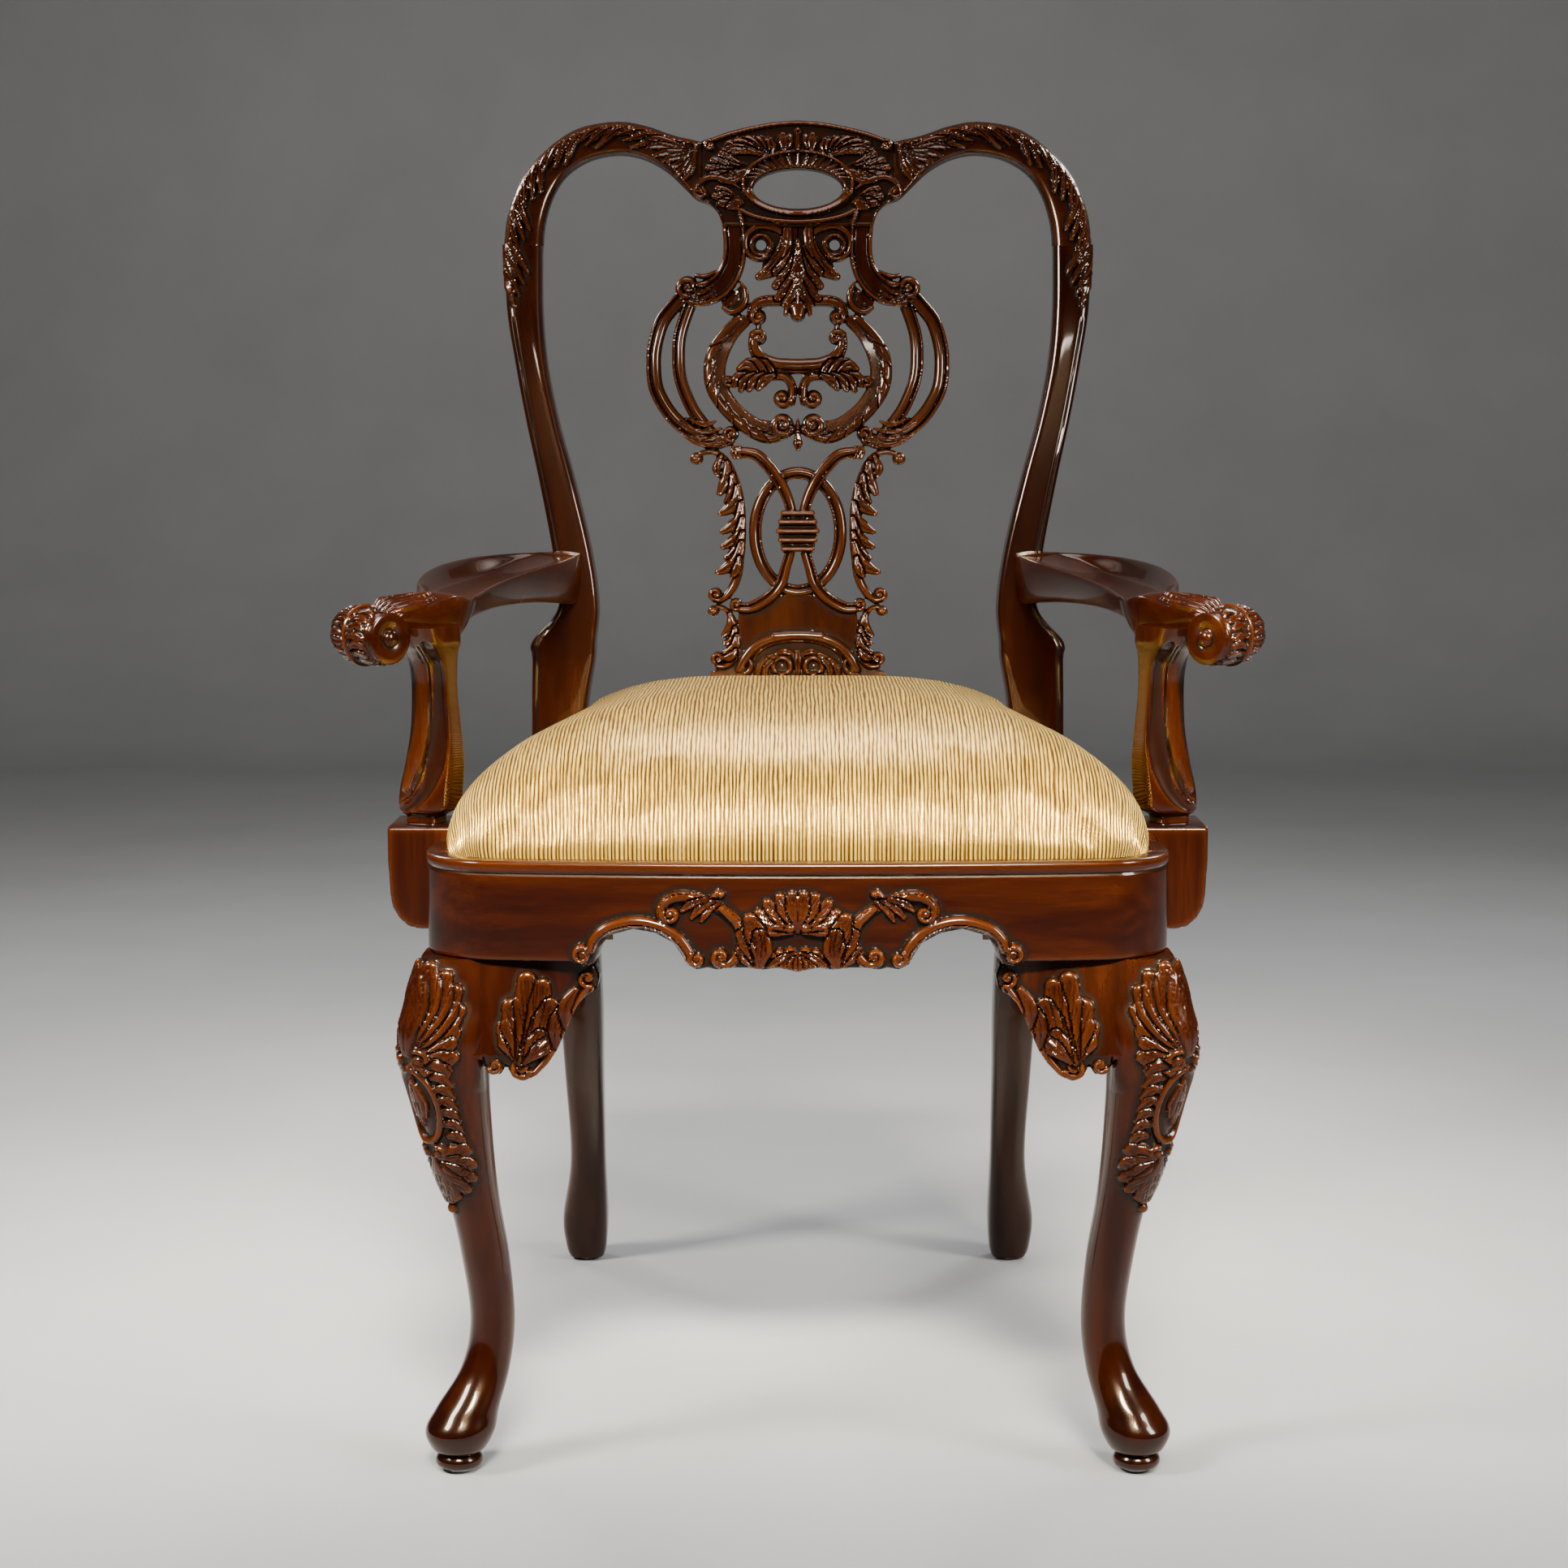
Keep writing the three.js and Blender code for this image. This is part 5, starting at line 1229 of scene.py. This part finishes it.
leg_shell().pair("front_leg", GRAIN_Z)


# ------------------------------------------------------------------------------------- knee blocks
EAR_EDGE = 5  # the radius of its edges


def ear_relief():
    """A knee block's face: a leafy bracket whose tip points away from the leg."""
    r = Relief(spaced((132, 226, 0.85)), spaced((284, 376, 0.85)), outlined=False)
    top = RAIL_BOTTOM - 0.3
    outline = [[226, top], [150, top], [141, 371], [138, 363], [140, 354], [147, 350], [153, 344], [158, 334],
               [163, 322], [168, 311], [174, 302], [182, 294], [191, 290], [199, 294], [203, 301], [207, 295],
               [213, 295], [218, 300], [220, 306], [226, 306]]
    r.edge = polygon_distance(resample(np.array(outline + [outline[0]], float), 2.0), r.a, r.b)
    # the edges against the rail and the leg stay square
    square = (r.b[:, None] > top - EAR_EDGE) & (r.a[None, :] > 146) | (r.a[None, :] > 219)
    r.height -= rounding(np.where(square, EAR_EDGE, np.clip(-r.edge, 0, EAR_EDGE)), EAR_EDGE)
    r.volute(192.5, 299.5, 9.6, -150, 1.25, 5.4, 4.6, base=0.6)
    r.volute(210.5, 301.5, 6.6, -30, -1.15, 4.2, 4.2, base=0.6)
    r.stroke([[184, 293.5], [173, 305], [164.5, 320], [158, 334], [151, 347], [145, 355]],
             [7, 9, 9.5, 9, 8, 6], 4.4, strapped)
    r.palm([193, 303], [[206, 333], [199.5, 349], [188, 367], [176, 362], [169.5, 348]], 5.0, -0.06)
    r.palm([190, 303], [[178, 327], [170.5, 320]], 5.0)
    r.strokes(([[169, 314], [169, 330], [163, 342]], [[162, 328], [162, 342], [155, 353]]),
              [5, 9, 9.6, 5.6], [2.6, 4.6, 4.4, 3.2], lobe)
    r.volute(146.5, 361.5, 8, -100, 1.0, 4.6, 4.8)
    r.height = np.where(r.edge > 0, 0, r.height)
    return r


def ear_plane(a, b):
    """How far behind the toes the ear's plain face lies: level with the leg beside it, forward at its tip."""
    leg = np.interp(b, [285, 309, 345, 374.7], [-2.5, -4.0, 1.5, 7.0]) + 0.2
    return 6.5 + (leg - 6.5) * eased(np.clip((a - 158) / 50, 0, 1))


def ear_front(a, b, d):
    return np.stack([a, ear_plane(a, b) - d, b], -1)


def ear_side(a, b, d):
    return np.stack([266.5 - ear_plane(a, b) + d, 271 - a, b], -1)


ear_cut = ear_relief()
Shell(sheet_form(ear_cut, ear_front, 0, -22, 3)).pair("front_knee_block", GRAIN_Z)
side_points, side_faces, side_marks = sheet_form(ear_cut, ear_side, 0, -22, 3)
# seen from the side the sheet runs the other way, so its faces are turned over
Shell((side_points, [f[::-1] for f in side_faces], side_marks)).pair("side_knee_block", GRAIN_Z)


# --------------------------------------------------------------------------------------------- arms
# Each row: the outer rim, the inner ridge, the inner and outer lower edges, and how deep the top is dished.
ARM_ROWS = [
    [204, 522, 638, 184, 510, 637, 186, 510, 594, 202, 520, 595, 0],
    [217, 505, 638, 186, 490, 636, 190, 490, 594, 215, 500, 596, 0],
    [246, 480, 638, 192, 455, 634, 200, 455, 597, 240, 475, 598, 5],
    [272, 425, 637, 206, 400, 631, 215, 400, 600, 264, 425, 601, 13],
    [286, 350, 635, 222, 330, 627, 232, 330, 601, 278, 350, 602, 14],
    [290, 280, 632, 234, 260, 622.5, 243, 260, 600, 283, 280, 601, 12],
    [288, 215, 628, 240, 200, 618.5, 247, 200, 598, 282, 215, 599, 9],
    [281, 175, 625, 241, 160, 617.5, 247, 160, 592, 278, 175, 594, 4],
    [279, 145, 623, 249, 132, 621, 249, 138, 588, 278, 150, 588, 0],
    [290, 125, 621, 263, 108, 616, 262, 114, 586, 288, 128, 588, 0],
    [303, 112, 618, 280, 85, 612, 281, 92, 586, 300, 114, 587, 0],
    [310, 104, 610, 290, 78, 606, 290, 82, 588, 308, 106, 590, 0],
]
DISH_WALL = 0.16  # how much of the width the dish's steep outer wall takes


def arm_section(rim, ridge, low_in, low_out, dish):
    """A ring of points round the arm, from the outer rim over the dished top and round underneath."""
    v = np.linspace(0, 1, 64)[None, :, None]
    top = rim[:, None] + (ridge - rim)[:, None] * v
    flat_v = v[..., 0]
    rise = np.clip((flat_v - 0.05) / DISH_WALL, 0, 1)
    fall = np.clip((1 - flat_v) / 0.72, 0, 1)
    sunk = eased(rise) * (1 - (1 - fall) ** 2)
    top[..., 2] -= dish[:, None] * sunk
    top[..., 2] += 1.5 * np.sin(math.pi * flat_v) * (dish[:, None] < 1)

    def side(p, q, count, bulge):
        w = np.linspace(0, 1, count + 2)[None, 1:-1, None]
        pts = p[:, None] + (q - p)[:, None] * w
        out = unit((rim - ridge) * [1, 1, 0])
        return pts + out[:, None] * (bulge * np.sin(math.pi * w))

    return np.concatenate([top, side(ridge, low_in, 14, -1.2), side(low_in, low_out, 22, 0.0),
                           side(low_out, rim, 16, 3.0)], axis=1)


def arm_shell():
    table = catmull(ARM_ROWS, 300)
    rim, ridge, low_in, low_out = (table[:, 3 * k:3 * k + 3] for k in range(4))
    grid = arm_section(rim, ridge, low_in, low_out, table[:, 12])
    for _ in range(5):  # soften the edges
        near = (np.roll(grid, 1, axis=1) + np.roll(grid, -1, axis=1)) / 2
        grid = grid * 0.5 + near * 0.5
    if (tube_normals(grid) * (grid - grid.mean(1, keepdims=True))).sum() < 0:
        grid = grid[:, ::-1]
    # leaves on the flat behind the roll: a along the arm from its front, b across it
    length = np.concatenate([[0], np.cumsum(np.linalg.norm(np.diff(rim, axis=0), axis=1))])
    station = np.broadcast_to((length[-1] - length)[:, None], grid.shape[:2])
    across = grid - ((rim + ridge) / 2)[:, None]
    offset = (across * unit(rim - ridge)[:, None]).sum(2)
    sheet = Relief(spaced((0, 60, 0.8)), even(26, 0.8))
    sheet.strokes(([[4, 0], [22, 0], [44, 0]], [[4, 5], [20, 8], [38, 9]], [[4, -5], [20, -8], [38, -9]],
                   [[4, 10], [14, 14], [26, 16]], [[4, -10], [14, -14], [26, -15]]), [6, 9, 4], [3, 3.6, 2.4])
    on_top = np.clip(tube_normals(grid)[..., 2] * 2 - 0.8, 0, 1) * (station < 58)
    return Shell(carved_tube(grid, sheet, station, offset, on_top), roll_form())


ROLL_CENTRE, ROLL_RADIUS, ROLL_LENGTH = np.array([307, 88, 595.0]), 17.6, 48
ROLL_AXIS = np.array([0.75, 0.66, 0.06]) / math.sqrt(0.75**2 + 0.66**2 + 0.06**2)  # outwards
ROLL_HALF_ROUND = 57  # more than half the way round the roll


def roll_form():
    """The arm's scroll end: a short roll carved with leaves, with a button on its inner face."""
    size, around = ROLL_RADIUS, 150
    d = np.linspace(0, ROLL_LENGTH, 74)
    radius = size + 1.0 - 2.0 * np.exp(-(((d - 5) / 2.2) ** 2)) - 4.6 * np.clip((d - 33) / 15, 0, 1) ** 2
    t = turns_of(around)
    sheet = Relief(even(ROLL_HALF_ROUND, 0.8), spaced((0, ROLL_LENGTH + 3, 0.8)))
    for i in range(-4, 5):
        a = i * 12.3
        sheet.strokes(([[a, 50], [a - 5, 40], [a - 4, 30]], [[a, 50], [a + 5, 40], [a + 4, 30]],
                       [[a, 50], [a, 38], [a, 28]]), [3.5, 6.4, 3.4], [2, 3.4, 2.6])
        sheet.strokes(([[a + 4, 24], [a + 1, 16], [a + 3, 9]], [[a + 9, 24], [a + 8, 16], [a + 9.5, 9]]),
                      [4, 6.4, 3.4], [2.4, 3.2, 2.4])
    sheet.stroke([[-ROLL_HALF_ROUND, 26.5], [ROLL_HALF_ROUND, 26.5]], 4.0, 4.0, smooth=False)
    aa, dd = np.meshgrid((t - math.pi) * size, d)
    fade = np.clip((dd - 6) / 3, 0, 1)
    # the button and the face round it, from the inner end up to the carved skin
    button_d = [-3.6, -3.4, -2.6, -1.2, 0.6, 0.9, 0.2, 0.0, 0.4]
    button_radius = [0.01, 2.4, 4.8, 6.2, 6.6, 7.2, 8.6, size - 1.5, size + 0.6]
    carved = slice(len(button_d), -1)
    along = np.concatenate([button_d, d[1:], [ROLL_LENGTH + 0.6]])[:, None, None]
    profile = np.concatenate([button_radius, radius[1:], [6]])
    # extra is the carving's height; the second sheet holds painted shade for the hollows
    extra, roll_shade = np.zeros((2, len(profile), around))
    extra[carved] = (sheet.sample(sheet.height, aa, dd) * fade)[1:]
    roll_shade[carved] = (sheet.sample(sheet.hollow_shade(), aa, dd) * fade)[1:]
    # painted shade in the crease round the button's edge
    roll_shade[4:6] = 0.5
    up = np.array([0, 0, 1.0])
    circle = np.cos(t)[:, None] * up + np.sin(t)[:, None] * np.cross(ROLL_AXIS, up)
    start = ROLL_CENTRE - ROLL_AXIS * ROLL_LENGTH / 2
    grid = (profile[:, None] + extra)[..., None] * circle + along * ROLL_AXIS + start
    return tube_form(grid[:, ::-1], roll_shade[:, ::-1])


arm_shell().pair("arm", GRAIN_Y)


# The support's rows turn so that its broad face looks out past the front corner.
SUPPORT_TURN = 0.36
# The rows are like the legs'.
SUPPORT_ROWS = [
    [455.3, 273, 132, 13, 11, 5], [460, 273, 132, 13, 11, 5], [463, 272, 132, 17, 15, 5],
    [467, 270, 131, 20.5, 16, 5], [480, 268.8, 130.5, 20.8, 16, 5], [499, 266, 129.5, 19.4, 15, 5],
    [523, 264.6, 127.5, 16.6, 13.2, 5], [547, 264.8, 125.5, 14.8, 12.4, 5], [562, 265, 124.6, 14.6, 12.6, 5],
    [573, 265.4, 122.4, 15, 14.4, 5], [581, 266.2, 118.5, 15.8, 18.4, 5], [588, 266.8, 114, 17.2, 23, 5],
    [600, 269, 111, 18, 27, 5],
]


def support_relief():
    """The carving on the support's broad face: across it from the inner edge, and up."""
    r = Relief(even(26, 0.8), spaced((456, 602, 0.8)))
    r.stroke([[-9.5, 586], [-10, 560], [-9.6, 535], [-8, 505], [-4, 483], [6, 470], [17, 464]],
             [9, 11, 12.5, 15, 16, 11, 8], [2.6, 3.2, 3.4, 3.6, 3.4, 2.6, 1.4], cut=True)
    r.stroke([[12.6, 587], [12.6, 560], [13.4, 535], [16, 510]], [4.6, 4.8, 4.4, 3], [2.2, 2.4, 2.2, 1],
             cut=True)
    r.stroke([[4, 590], [4, 560], [4.6, 535], [7.4, 510], [10.8, 493], [12.6, 482]],
             [8, 11, 12, 13.4, 15.4, 9], [2.4, 3.2, 3.8, 4.6, 5.4, 4.2], base=-1.6)
    r.stroke([[-2.4, 586], [-2.6, 560], [-2.2, 535], [0, 510], [3.4, 490], [8.6, 476], [16, 471]],
             [1.4, 1.8, 1.8, 1.8, 1.8, 1.6], 1.6, cut=True)
    return r


def support_shell():
    z = spaced((455.3, 600, 0.9))
    grid = post_grid(SUPPORT_ROWS, z, 180)
    centre = grid.mean(1, keepdims=True)
    flat_x, flat_y = (grid - centre)[..., 0], (grid - centre)[..., 1]
    cos, sin = math.cos(SUPPORT_TURN), math.sin(SUPPORT_TURN)
    turned = np.stack([cos * flat_x - sin * flat_y, sin * flat_x + cos * flat_y, 0 * flat_x], 2)
    grid = turned + centre
    normal = tube_normals(grid)
    facing = np.clip(normal[..., 0] * sin - normal[..., 1] * cos, 0, 1)
    facing = np.clip(facing * 2 - 0.7, 0, 1)
    return Shell(carved_tube(grid, support_relief(), flat_x, grid[..., 2], facing, radius=4))


support_shell().pair("arm_support", GRAIN_Z)


# --------------------------------------------------------------------------- plain wooden pieces
def board_relief(outline, step, radius):
    """A plain board of any outline, with a rounded edge."""
    outline = np.asarray(outline, float)
    low, high = outline.min(0) - 2, outline.max(0) + 2
    r = Relief(spaced((low[0], high[0], step)), spaced((low[1], high[1], step)))
    r.edge = polygon_distance(outline, r.a, r.b)
    r.height -= rounding(np.clip(-r.edge, 0, radius), radius)
    return r


def face_at(y, way=-1):
    """Places a board with its face at y, looking forwards, or backwards when way is 1."""
    return lambda a, b, d: np.stack([-way * a, y + way * d, b], -1)


def cad_y(node):
    """Where a CAD node starts and ends from front to back, in millimetres from the toes."""
    low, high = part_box(node)
    return low[1] * 1000 - SHIFT_Y, high[1] * 1000 - SHIFT_Y


block = board_relief([[252, 454.8], [252, 380], [274, 380], [283, 382], [290, 388], [294.5, 396], [296, 404],
                      [297.5, 430], [297.5, 454.8]], 1.0, 2.0)
Shell(sheet_form(block, face_at(100), 0, -70, 2)).pair("arm_block", GRAIN_Z)

shoe = board_relief([[-88, 445.4], [88, 445.4], [88, 456], [85, 463], [82, 467.8], [-82, 467.8], [-85, 463],
                     [-88, 456]], 1.2, 1.5)
shoe_front, shoe_rear = cad_y("splat_shoe")
Shell(sheet_form(shoe, face_at(shoe_front), 0, shoe_front - shoe_rear, 1.5)).make(
    "splat_shoe", GRAIN_X, "splat_shoe_moulded")

REAR_RAIL_HALF = 177.5
rear_rail = board_relief([[-REAR_RAIL_HALF, RAIL_BOTTOM], [REAR_RAIL_HALF, RAIL_BOTTOM],
                          [REAR_RAIL_HALF, RAIL_TOP], [-REAR_RAIL_HALF, RAIL_TOP]], 2.5, 2.0)
Shell(sheet_form(rear_rail, face_at(cad_y("rear_seat_rail")[1], 1), 0, -28, 2)).make(
    "rear_seat_rail", GRAIN_X, "rear_seat_rail_smooth")


# ----------------------------------------------------------------------------------------- cushion
CUSHION_INSET = 13.6  # from the seat's plan
CUSHION_REAR = 487.2
DOME_FOOT, DOME_RISE = 457, 88.5
HELD_BELOW = 0.4405  # metres: the cloth below this height is fixed to the seat frame
SWELLING = 0.0045  # metres: how far the cloth may swell beyond the dome


def dome_form():
    """A slightly undersized dome on the seat's plan, to be blown up by the cloth simulation."""
    outline = PLAN - PLAN_NORMAL * CUSHION_INSET
    outline = outline[outline[:, 1] < CUSHION_REAR - 0.2]
    rear_middle = [0, CUSHION_REAR]
    right = resample(np.concatenate([outline, [[outline[-1, 0], CUSHION_REAR], rear_middle]]), 8)[:-1]
    full = np.concatenate([right, [rear_middle], (right[1:] * [-1, 1])[::-1]])
    centre = np.array([0, 245.0])
    levels = [[0.6, 432], [0.985, 432], [1, 436], [1, 445], [1.009, 449], [1.011, 454]]
    for scale in (1.007, 0.998, 0.985, 0.965, 0.935, 0.895, 0.84, 0.77, 0.68, 0.57, 0.44, 0.3, 0.15):
        levels.append([scale, DOME_FOOT + DOME_RISE * (1 - min(scale, 1) ** 2.5) ** (1 / 1.93)])
    rings = []
    for scale, z in levels:
        flat_ring = centre + (full - centre) * scale
        rings.append(np.column_stack([flat_ring, np.full(len(full), z)]))
    return tube_form(np.array(rings))


def blow_up(obj):
    """Swells the dome like a stuffed cover, with its foot held."""
    scene = bpy.context.scene
    start = positions(obj)
    settings = obj.modifiers.new("blow", "CLOTH").settings
    settings.use_pressure = True
    settings.uniform_pressure_force = 4.0
    settings.effector_weights.gravity = 0.0
    settings.tension_stiffness = 25
    settings.compression_stiffness = 15
    settings.bending_stiffness = 4.0
    settings.quality = 7
    held = [i for i, p in enumerate(start) if p[2] < HELD_BELOW]
    obj.vertex_groups.new(name="held").add(held, 1.0, "REPLACE")
    settings.vertex_group_mass = "held"
    scene.frame_start, scene.frame_end = 1, 20
    for number in range(1, 21):
        scene.frame_set(number)
    apply_modifiers(obj)
    move = positions(obj) - start
    size = np.linalg.norm(move, axis=1, keepdims=True)
    move *= np.minimum(1, SWELLING / np.maximum(size, 1e-9))
    obj.data.vertices.foreach_set("co", (start + move).astype(np.float32).ravel())
    obj.data.update()
    scene.frame_set(1)
    obj.vertex_groups.clear()


def cushion():
    points, faces, _ = dome_form()
    obj = add_mesh("seat_cushion", points, faces, "seat", ["seat_cover", "seat_padding"])
    bpy.context.view_layer.objects.active = obj
    remesh = obj.modifiers.new("even", "REMESH")
    remesh.mode, remesh.voxel_size = "VOXEL", 0.006
    apply_modifiers(obj)
    blow_up(obj)
    smooth = obj.modifiers.new("smooth", "SMOOTH")
    smooth.factor, smooth.iterations = 0.5, 4
    subdivide = obj.modifiers.new("finer", "SUBSURF")
    subdivide.levels = subdivide.render_levels = 1
    apply_modifiers(obj)
    measure_cloth(obj)
    obj.data.polygons.foreach_set("use_smooth", [True] * len(obj.data.polygons))
    return obj


def apply_modifiers(obj):
    """Makes the object's modifiers part of its mesh."""
    evaluated = obj.evaluated_get(bpy.context.evaluated_depsgraph_get())
    mesh = bpy.data.meshes.new_from_object(evaluated)
    old = obj.data
    obj.modifiers.clear()
    obj.data = mesh
    bpy.data.meshes.remove(old)
    mesh.name = obj.name


def vectors(values, key):
    read = np.empty(len(values) * 3, np.float32)
    values.foreach_get(key, read)
    return read.reshape(-1, 3)


def positions(obj):
    return vectors(obj.data.vertices, "co").astype(float)


def measure_cloth(obj):
    """Marks each point with how far across and down the cloth it lies, measured over the dome."""
    co = positions(obj)
    lo, hi = co.min(0), co.max(0)
    xs, ys = np.linspace(lo[0], hi[0], 180), np.linspace(lo[1], hi[1], 180)
    tree = BVHTree.FromPolygons([Vector(p) for p in co], [tuple(p.vertices) for p in obj.data.polygons])
    rows = []
    for y in ys:
        hits = [tree.ray_cast(Vector((x, y, 1.0)), Vector((0, 0, -1)))[0] for x in xs]
        met = [i for i, hit in enumerate(hits) if hit is not None]
        # beyond the dome's edge a row keeps the edge's height
        rows.append(np.interp(np.arange(len(xs)), met, [hits[i].z for i in met]) if met else None)
    known = [row for row in rows if row is not None]
    rows = [row if row is not None else known[0 if j < len(rows) / 2 else -1] for j, row in enumerate(rows)]
    top = blurred(np.array(rows), 1)
    middle = len(xs) // 2

    def run(values, coords, axis):
        """Distance over the heights along one axis, from the middle."""
        d = np.hypot(np.diff(values, axis=axis), np.expand_dims(np.diff(coords), 1 - axis))
        pad = [(0, 0), (0, 0)]
        pad[axis] = (1, 0)
        total = np.cumsum(np.pad(d, pad), axis=axis)
        return total - np.take(total, [middle], axis=axis)

    sheet = Relief(xs, ys)
    across = sheet.sample(run(top, xs, 1), co[:, 0], co[:, 1])
    down = sheet.sample(run(top, ys, 0), co[:, 0], co[:, 1])
    # down the sides' steep edges the cloth goes on outwards
    normal = vectors(obj.data.vertex_normals, "vector")
    sideways = normal[:, 0] ** 2 / np.maximum(normal[:, 0] ** 2 + normal[:, 1] ** 2, 1e-9)
    drop = np.maximum(sheet.sample(top, co[:, 0], co[:, 1]) - co[:, 2], 0)
    across += np.sign(co[:, 0]) * sideways * drop
    mark_points(obj.data, "across", across)
    mark_points(obj.data, "down", down)


seat = cushion()
seat.data.materials.clear()
seat.data.materials.append(satin("gold_satin"))


# --------------------------------------------------------------- CAD pieces that keep their shape
def dress(names, material):
    """Gives CAD nodes their material."""
    for name in names:
        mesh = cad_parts[name].data
        mesh.materials.clear()
        mesh.materials.append(material)


def both(name, ends=("",)):
    """The names of the left and right nodes."""
    return [f"{name}_{side}{end}" for side in ("left", "right") for end in ends]


BEECH_X, BEECH_Y = (plain_wood(f"beech_{'xy'[axis]}", axis, (0.46, 0.30, 0.16), (0.26, 0.15, 0.07))
                    for axis in range(2))
dress(both("front_corner_block") + both("rear_corner_block") + ["seat_frame_front", "seat_frame_rear"],
      BEECH_X)
dress(both("seat_frame_side"), BEECH_Y)
dress(both("front_glide") + both("rear_glide") + both("arm_screw"), STEEL)
for screws in ("arm_block_screw", "front_corner_screw", "rear_corner_screw"):
    dress(both(screws, ("_1", "_2")), STEEL)
dress(["seat_webbing"], webbing("jute", (0.42, 0.30, 0.15), (0.16, 0.10, 0.045), 260))
dress(["seat_dust_cover"], webbing("cambric", (0.035, 0.035, 0.037), (0.008, 0.008, 0.009), 700))


# ----------------------------------------------------------------------------------- stage and light
def make_stage():
    """A pale floor that curves up into a wall behind the chair."""
    mesh = bpy.data.meshes.new("floor")
    size, away, rise, radius, steps = 9.0, 4.2, 5.0, 1.6, 24
    rows = [(-size, 0.0), (away, 0.0)]
    rows += [(away + radius * math.sin(t), radius - radius * math.cos(t))
             for t in np.linspace(0, math.pi / 2, steps)]
    rows += [(away + radius, rise)]
    points = [(x, y, z) for y, z in rows for x in (-size, size)]
    faces = [(2 * i, 2 * i + 1, 2 * i + 3, 2 * i + 2) for i in range(len(rows) - 1)]
    mesh.from_pydata(points, [], faces)
    mesh.polygons.foreach_set("use_smooth", [True] * len(mesh.polygons))
    obj = linked("floor", mesh)
    n = Nodes("studio_floor")
    grain = n.noise(n.placed((3, 3, 3)), 1.0, 4.0, 0.6)
    colour = n.ramp(grain, [(0.3, (0.35, 0.355, 0.365)), (0.7, (0.385, 0.39, 0.40))])
    mesh.materials.append(n.set(Base_Color=colour, Roughness=0.6))


def light(name, place, aim, size, power, colour=WHITE, spread=180):
    """A soft rectangular light."""
    data = bpy.data.lights.new(name, "AREA")
    data.shape, data.size, data.size_y = "RECTANGLE", size[0], size[1]
    data.energy, data.color, data.spread = power, colour, math.radians(spread)
    obj = linked(name, data)
    obj.location = place
    obj.rotation_euler = (Vector(aim) - Vector(place)).to_track_quat("-Z", "Y").to_euler()


make_stage()
light("key", (-1.9, -1.15, 2.1), (0, 0, 0.6), (0.6, 0.6), 140, (1.0, 0.95, 0.88))
light("fill", (2.0, -1.2, 1.5), (0, 0, 0.5), (0.6, 0.8), 80, (1.0, 0.97, 0.93))
light("front", (0.1, -1.9, 1.9), (0, -0.25, 0.455), (1.6, 0.25), 20, (1.0, 0.92, 0.77), 25)
light("top", (0.0, 0.1, 2.6), (0, 0, 0.4), (1.2, 0.8), 19)
light("rim", (1.3, 1.5, 1.9), (0, 0, 0.7), (0.5, 0.5), 22)
light("rim_left", (-1.4, 1.4, 1.8), (0, 0, 0.7), (0.5, 0.5), 20)

world = bpy.data.worlds.new("studio")
world.use_nodes = True
sky = world.node_tree.nodes["Background"].inputs
sky["Color"].default_value, sky["Strength"].default_value = (0.62, 0.64, 0.67, 1), 0.09
bpy.context.scene.world = world

# The camera stands 2 m in front of the toes and looks slightly down. The image is 1932 wide and high.
IMAGE_SIZE, FOCAL_LENGTH, FRAMING_SHIFT, SENSOR = 1932, 3602, -17, 36
CAMERA_AWAY, CAMERA_HEIGHT, CAMERA_TILT = 2000, 0.737, 6.8
camera_data = bpy.data.cameras.new("camera")
camera = linked("camera", camera_data)
camera_data.sensor_width = SENSOR
camera_data.lens = SENSOR * FOCAL_LENGTH / IMAGE_SIZE
camera_data.shift_x = FRAMING_SHIFT / IMAGE_SIZE
camera.location = (0, (SHIFT_Y - CAMERA_AWAY) / 1000, CAMERA_HEIGHT)
camera.rotation_euler = Euler((math.radians(90 - CAMERA_TILT), 0, 0))
camera_data.clip_start, camera_data.clip_end = 0.05, 50
bpy.context.scene.camera = camera
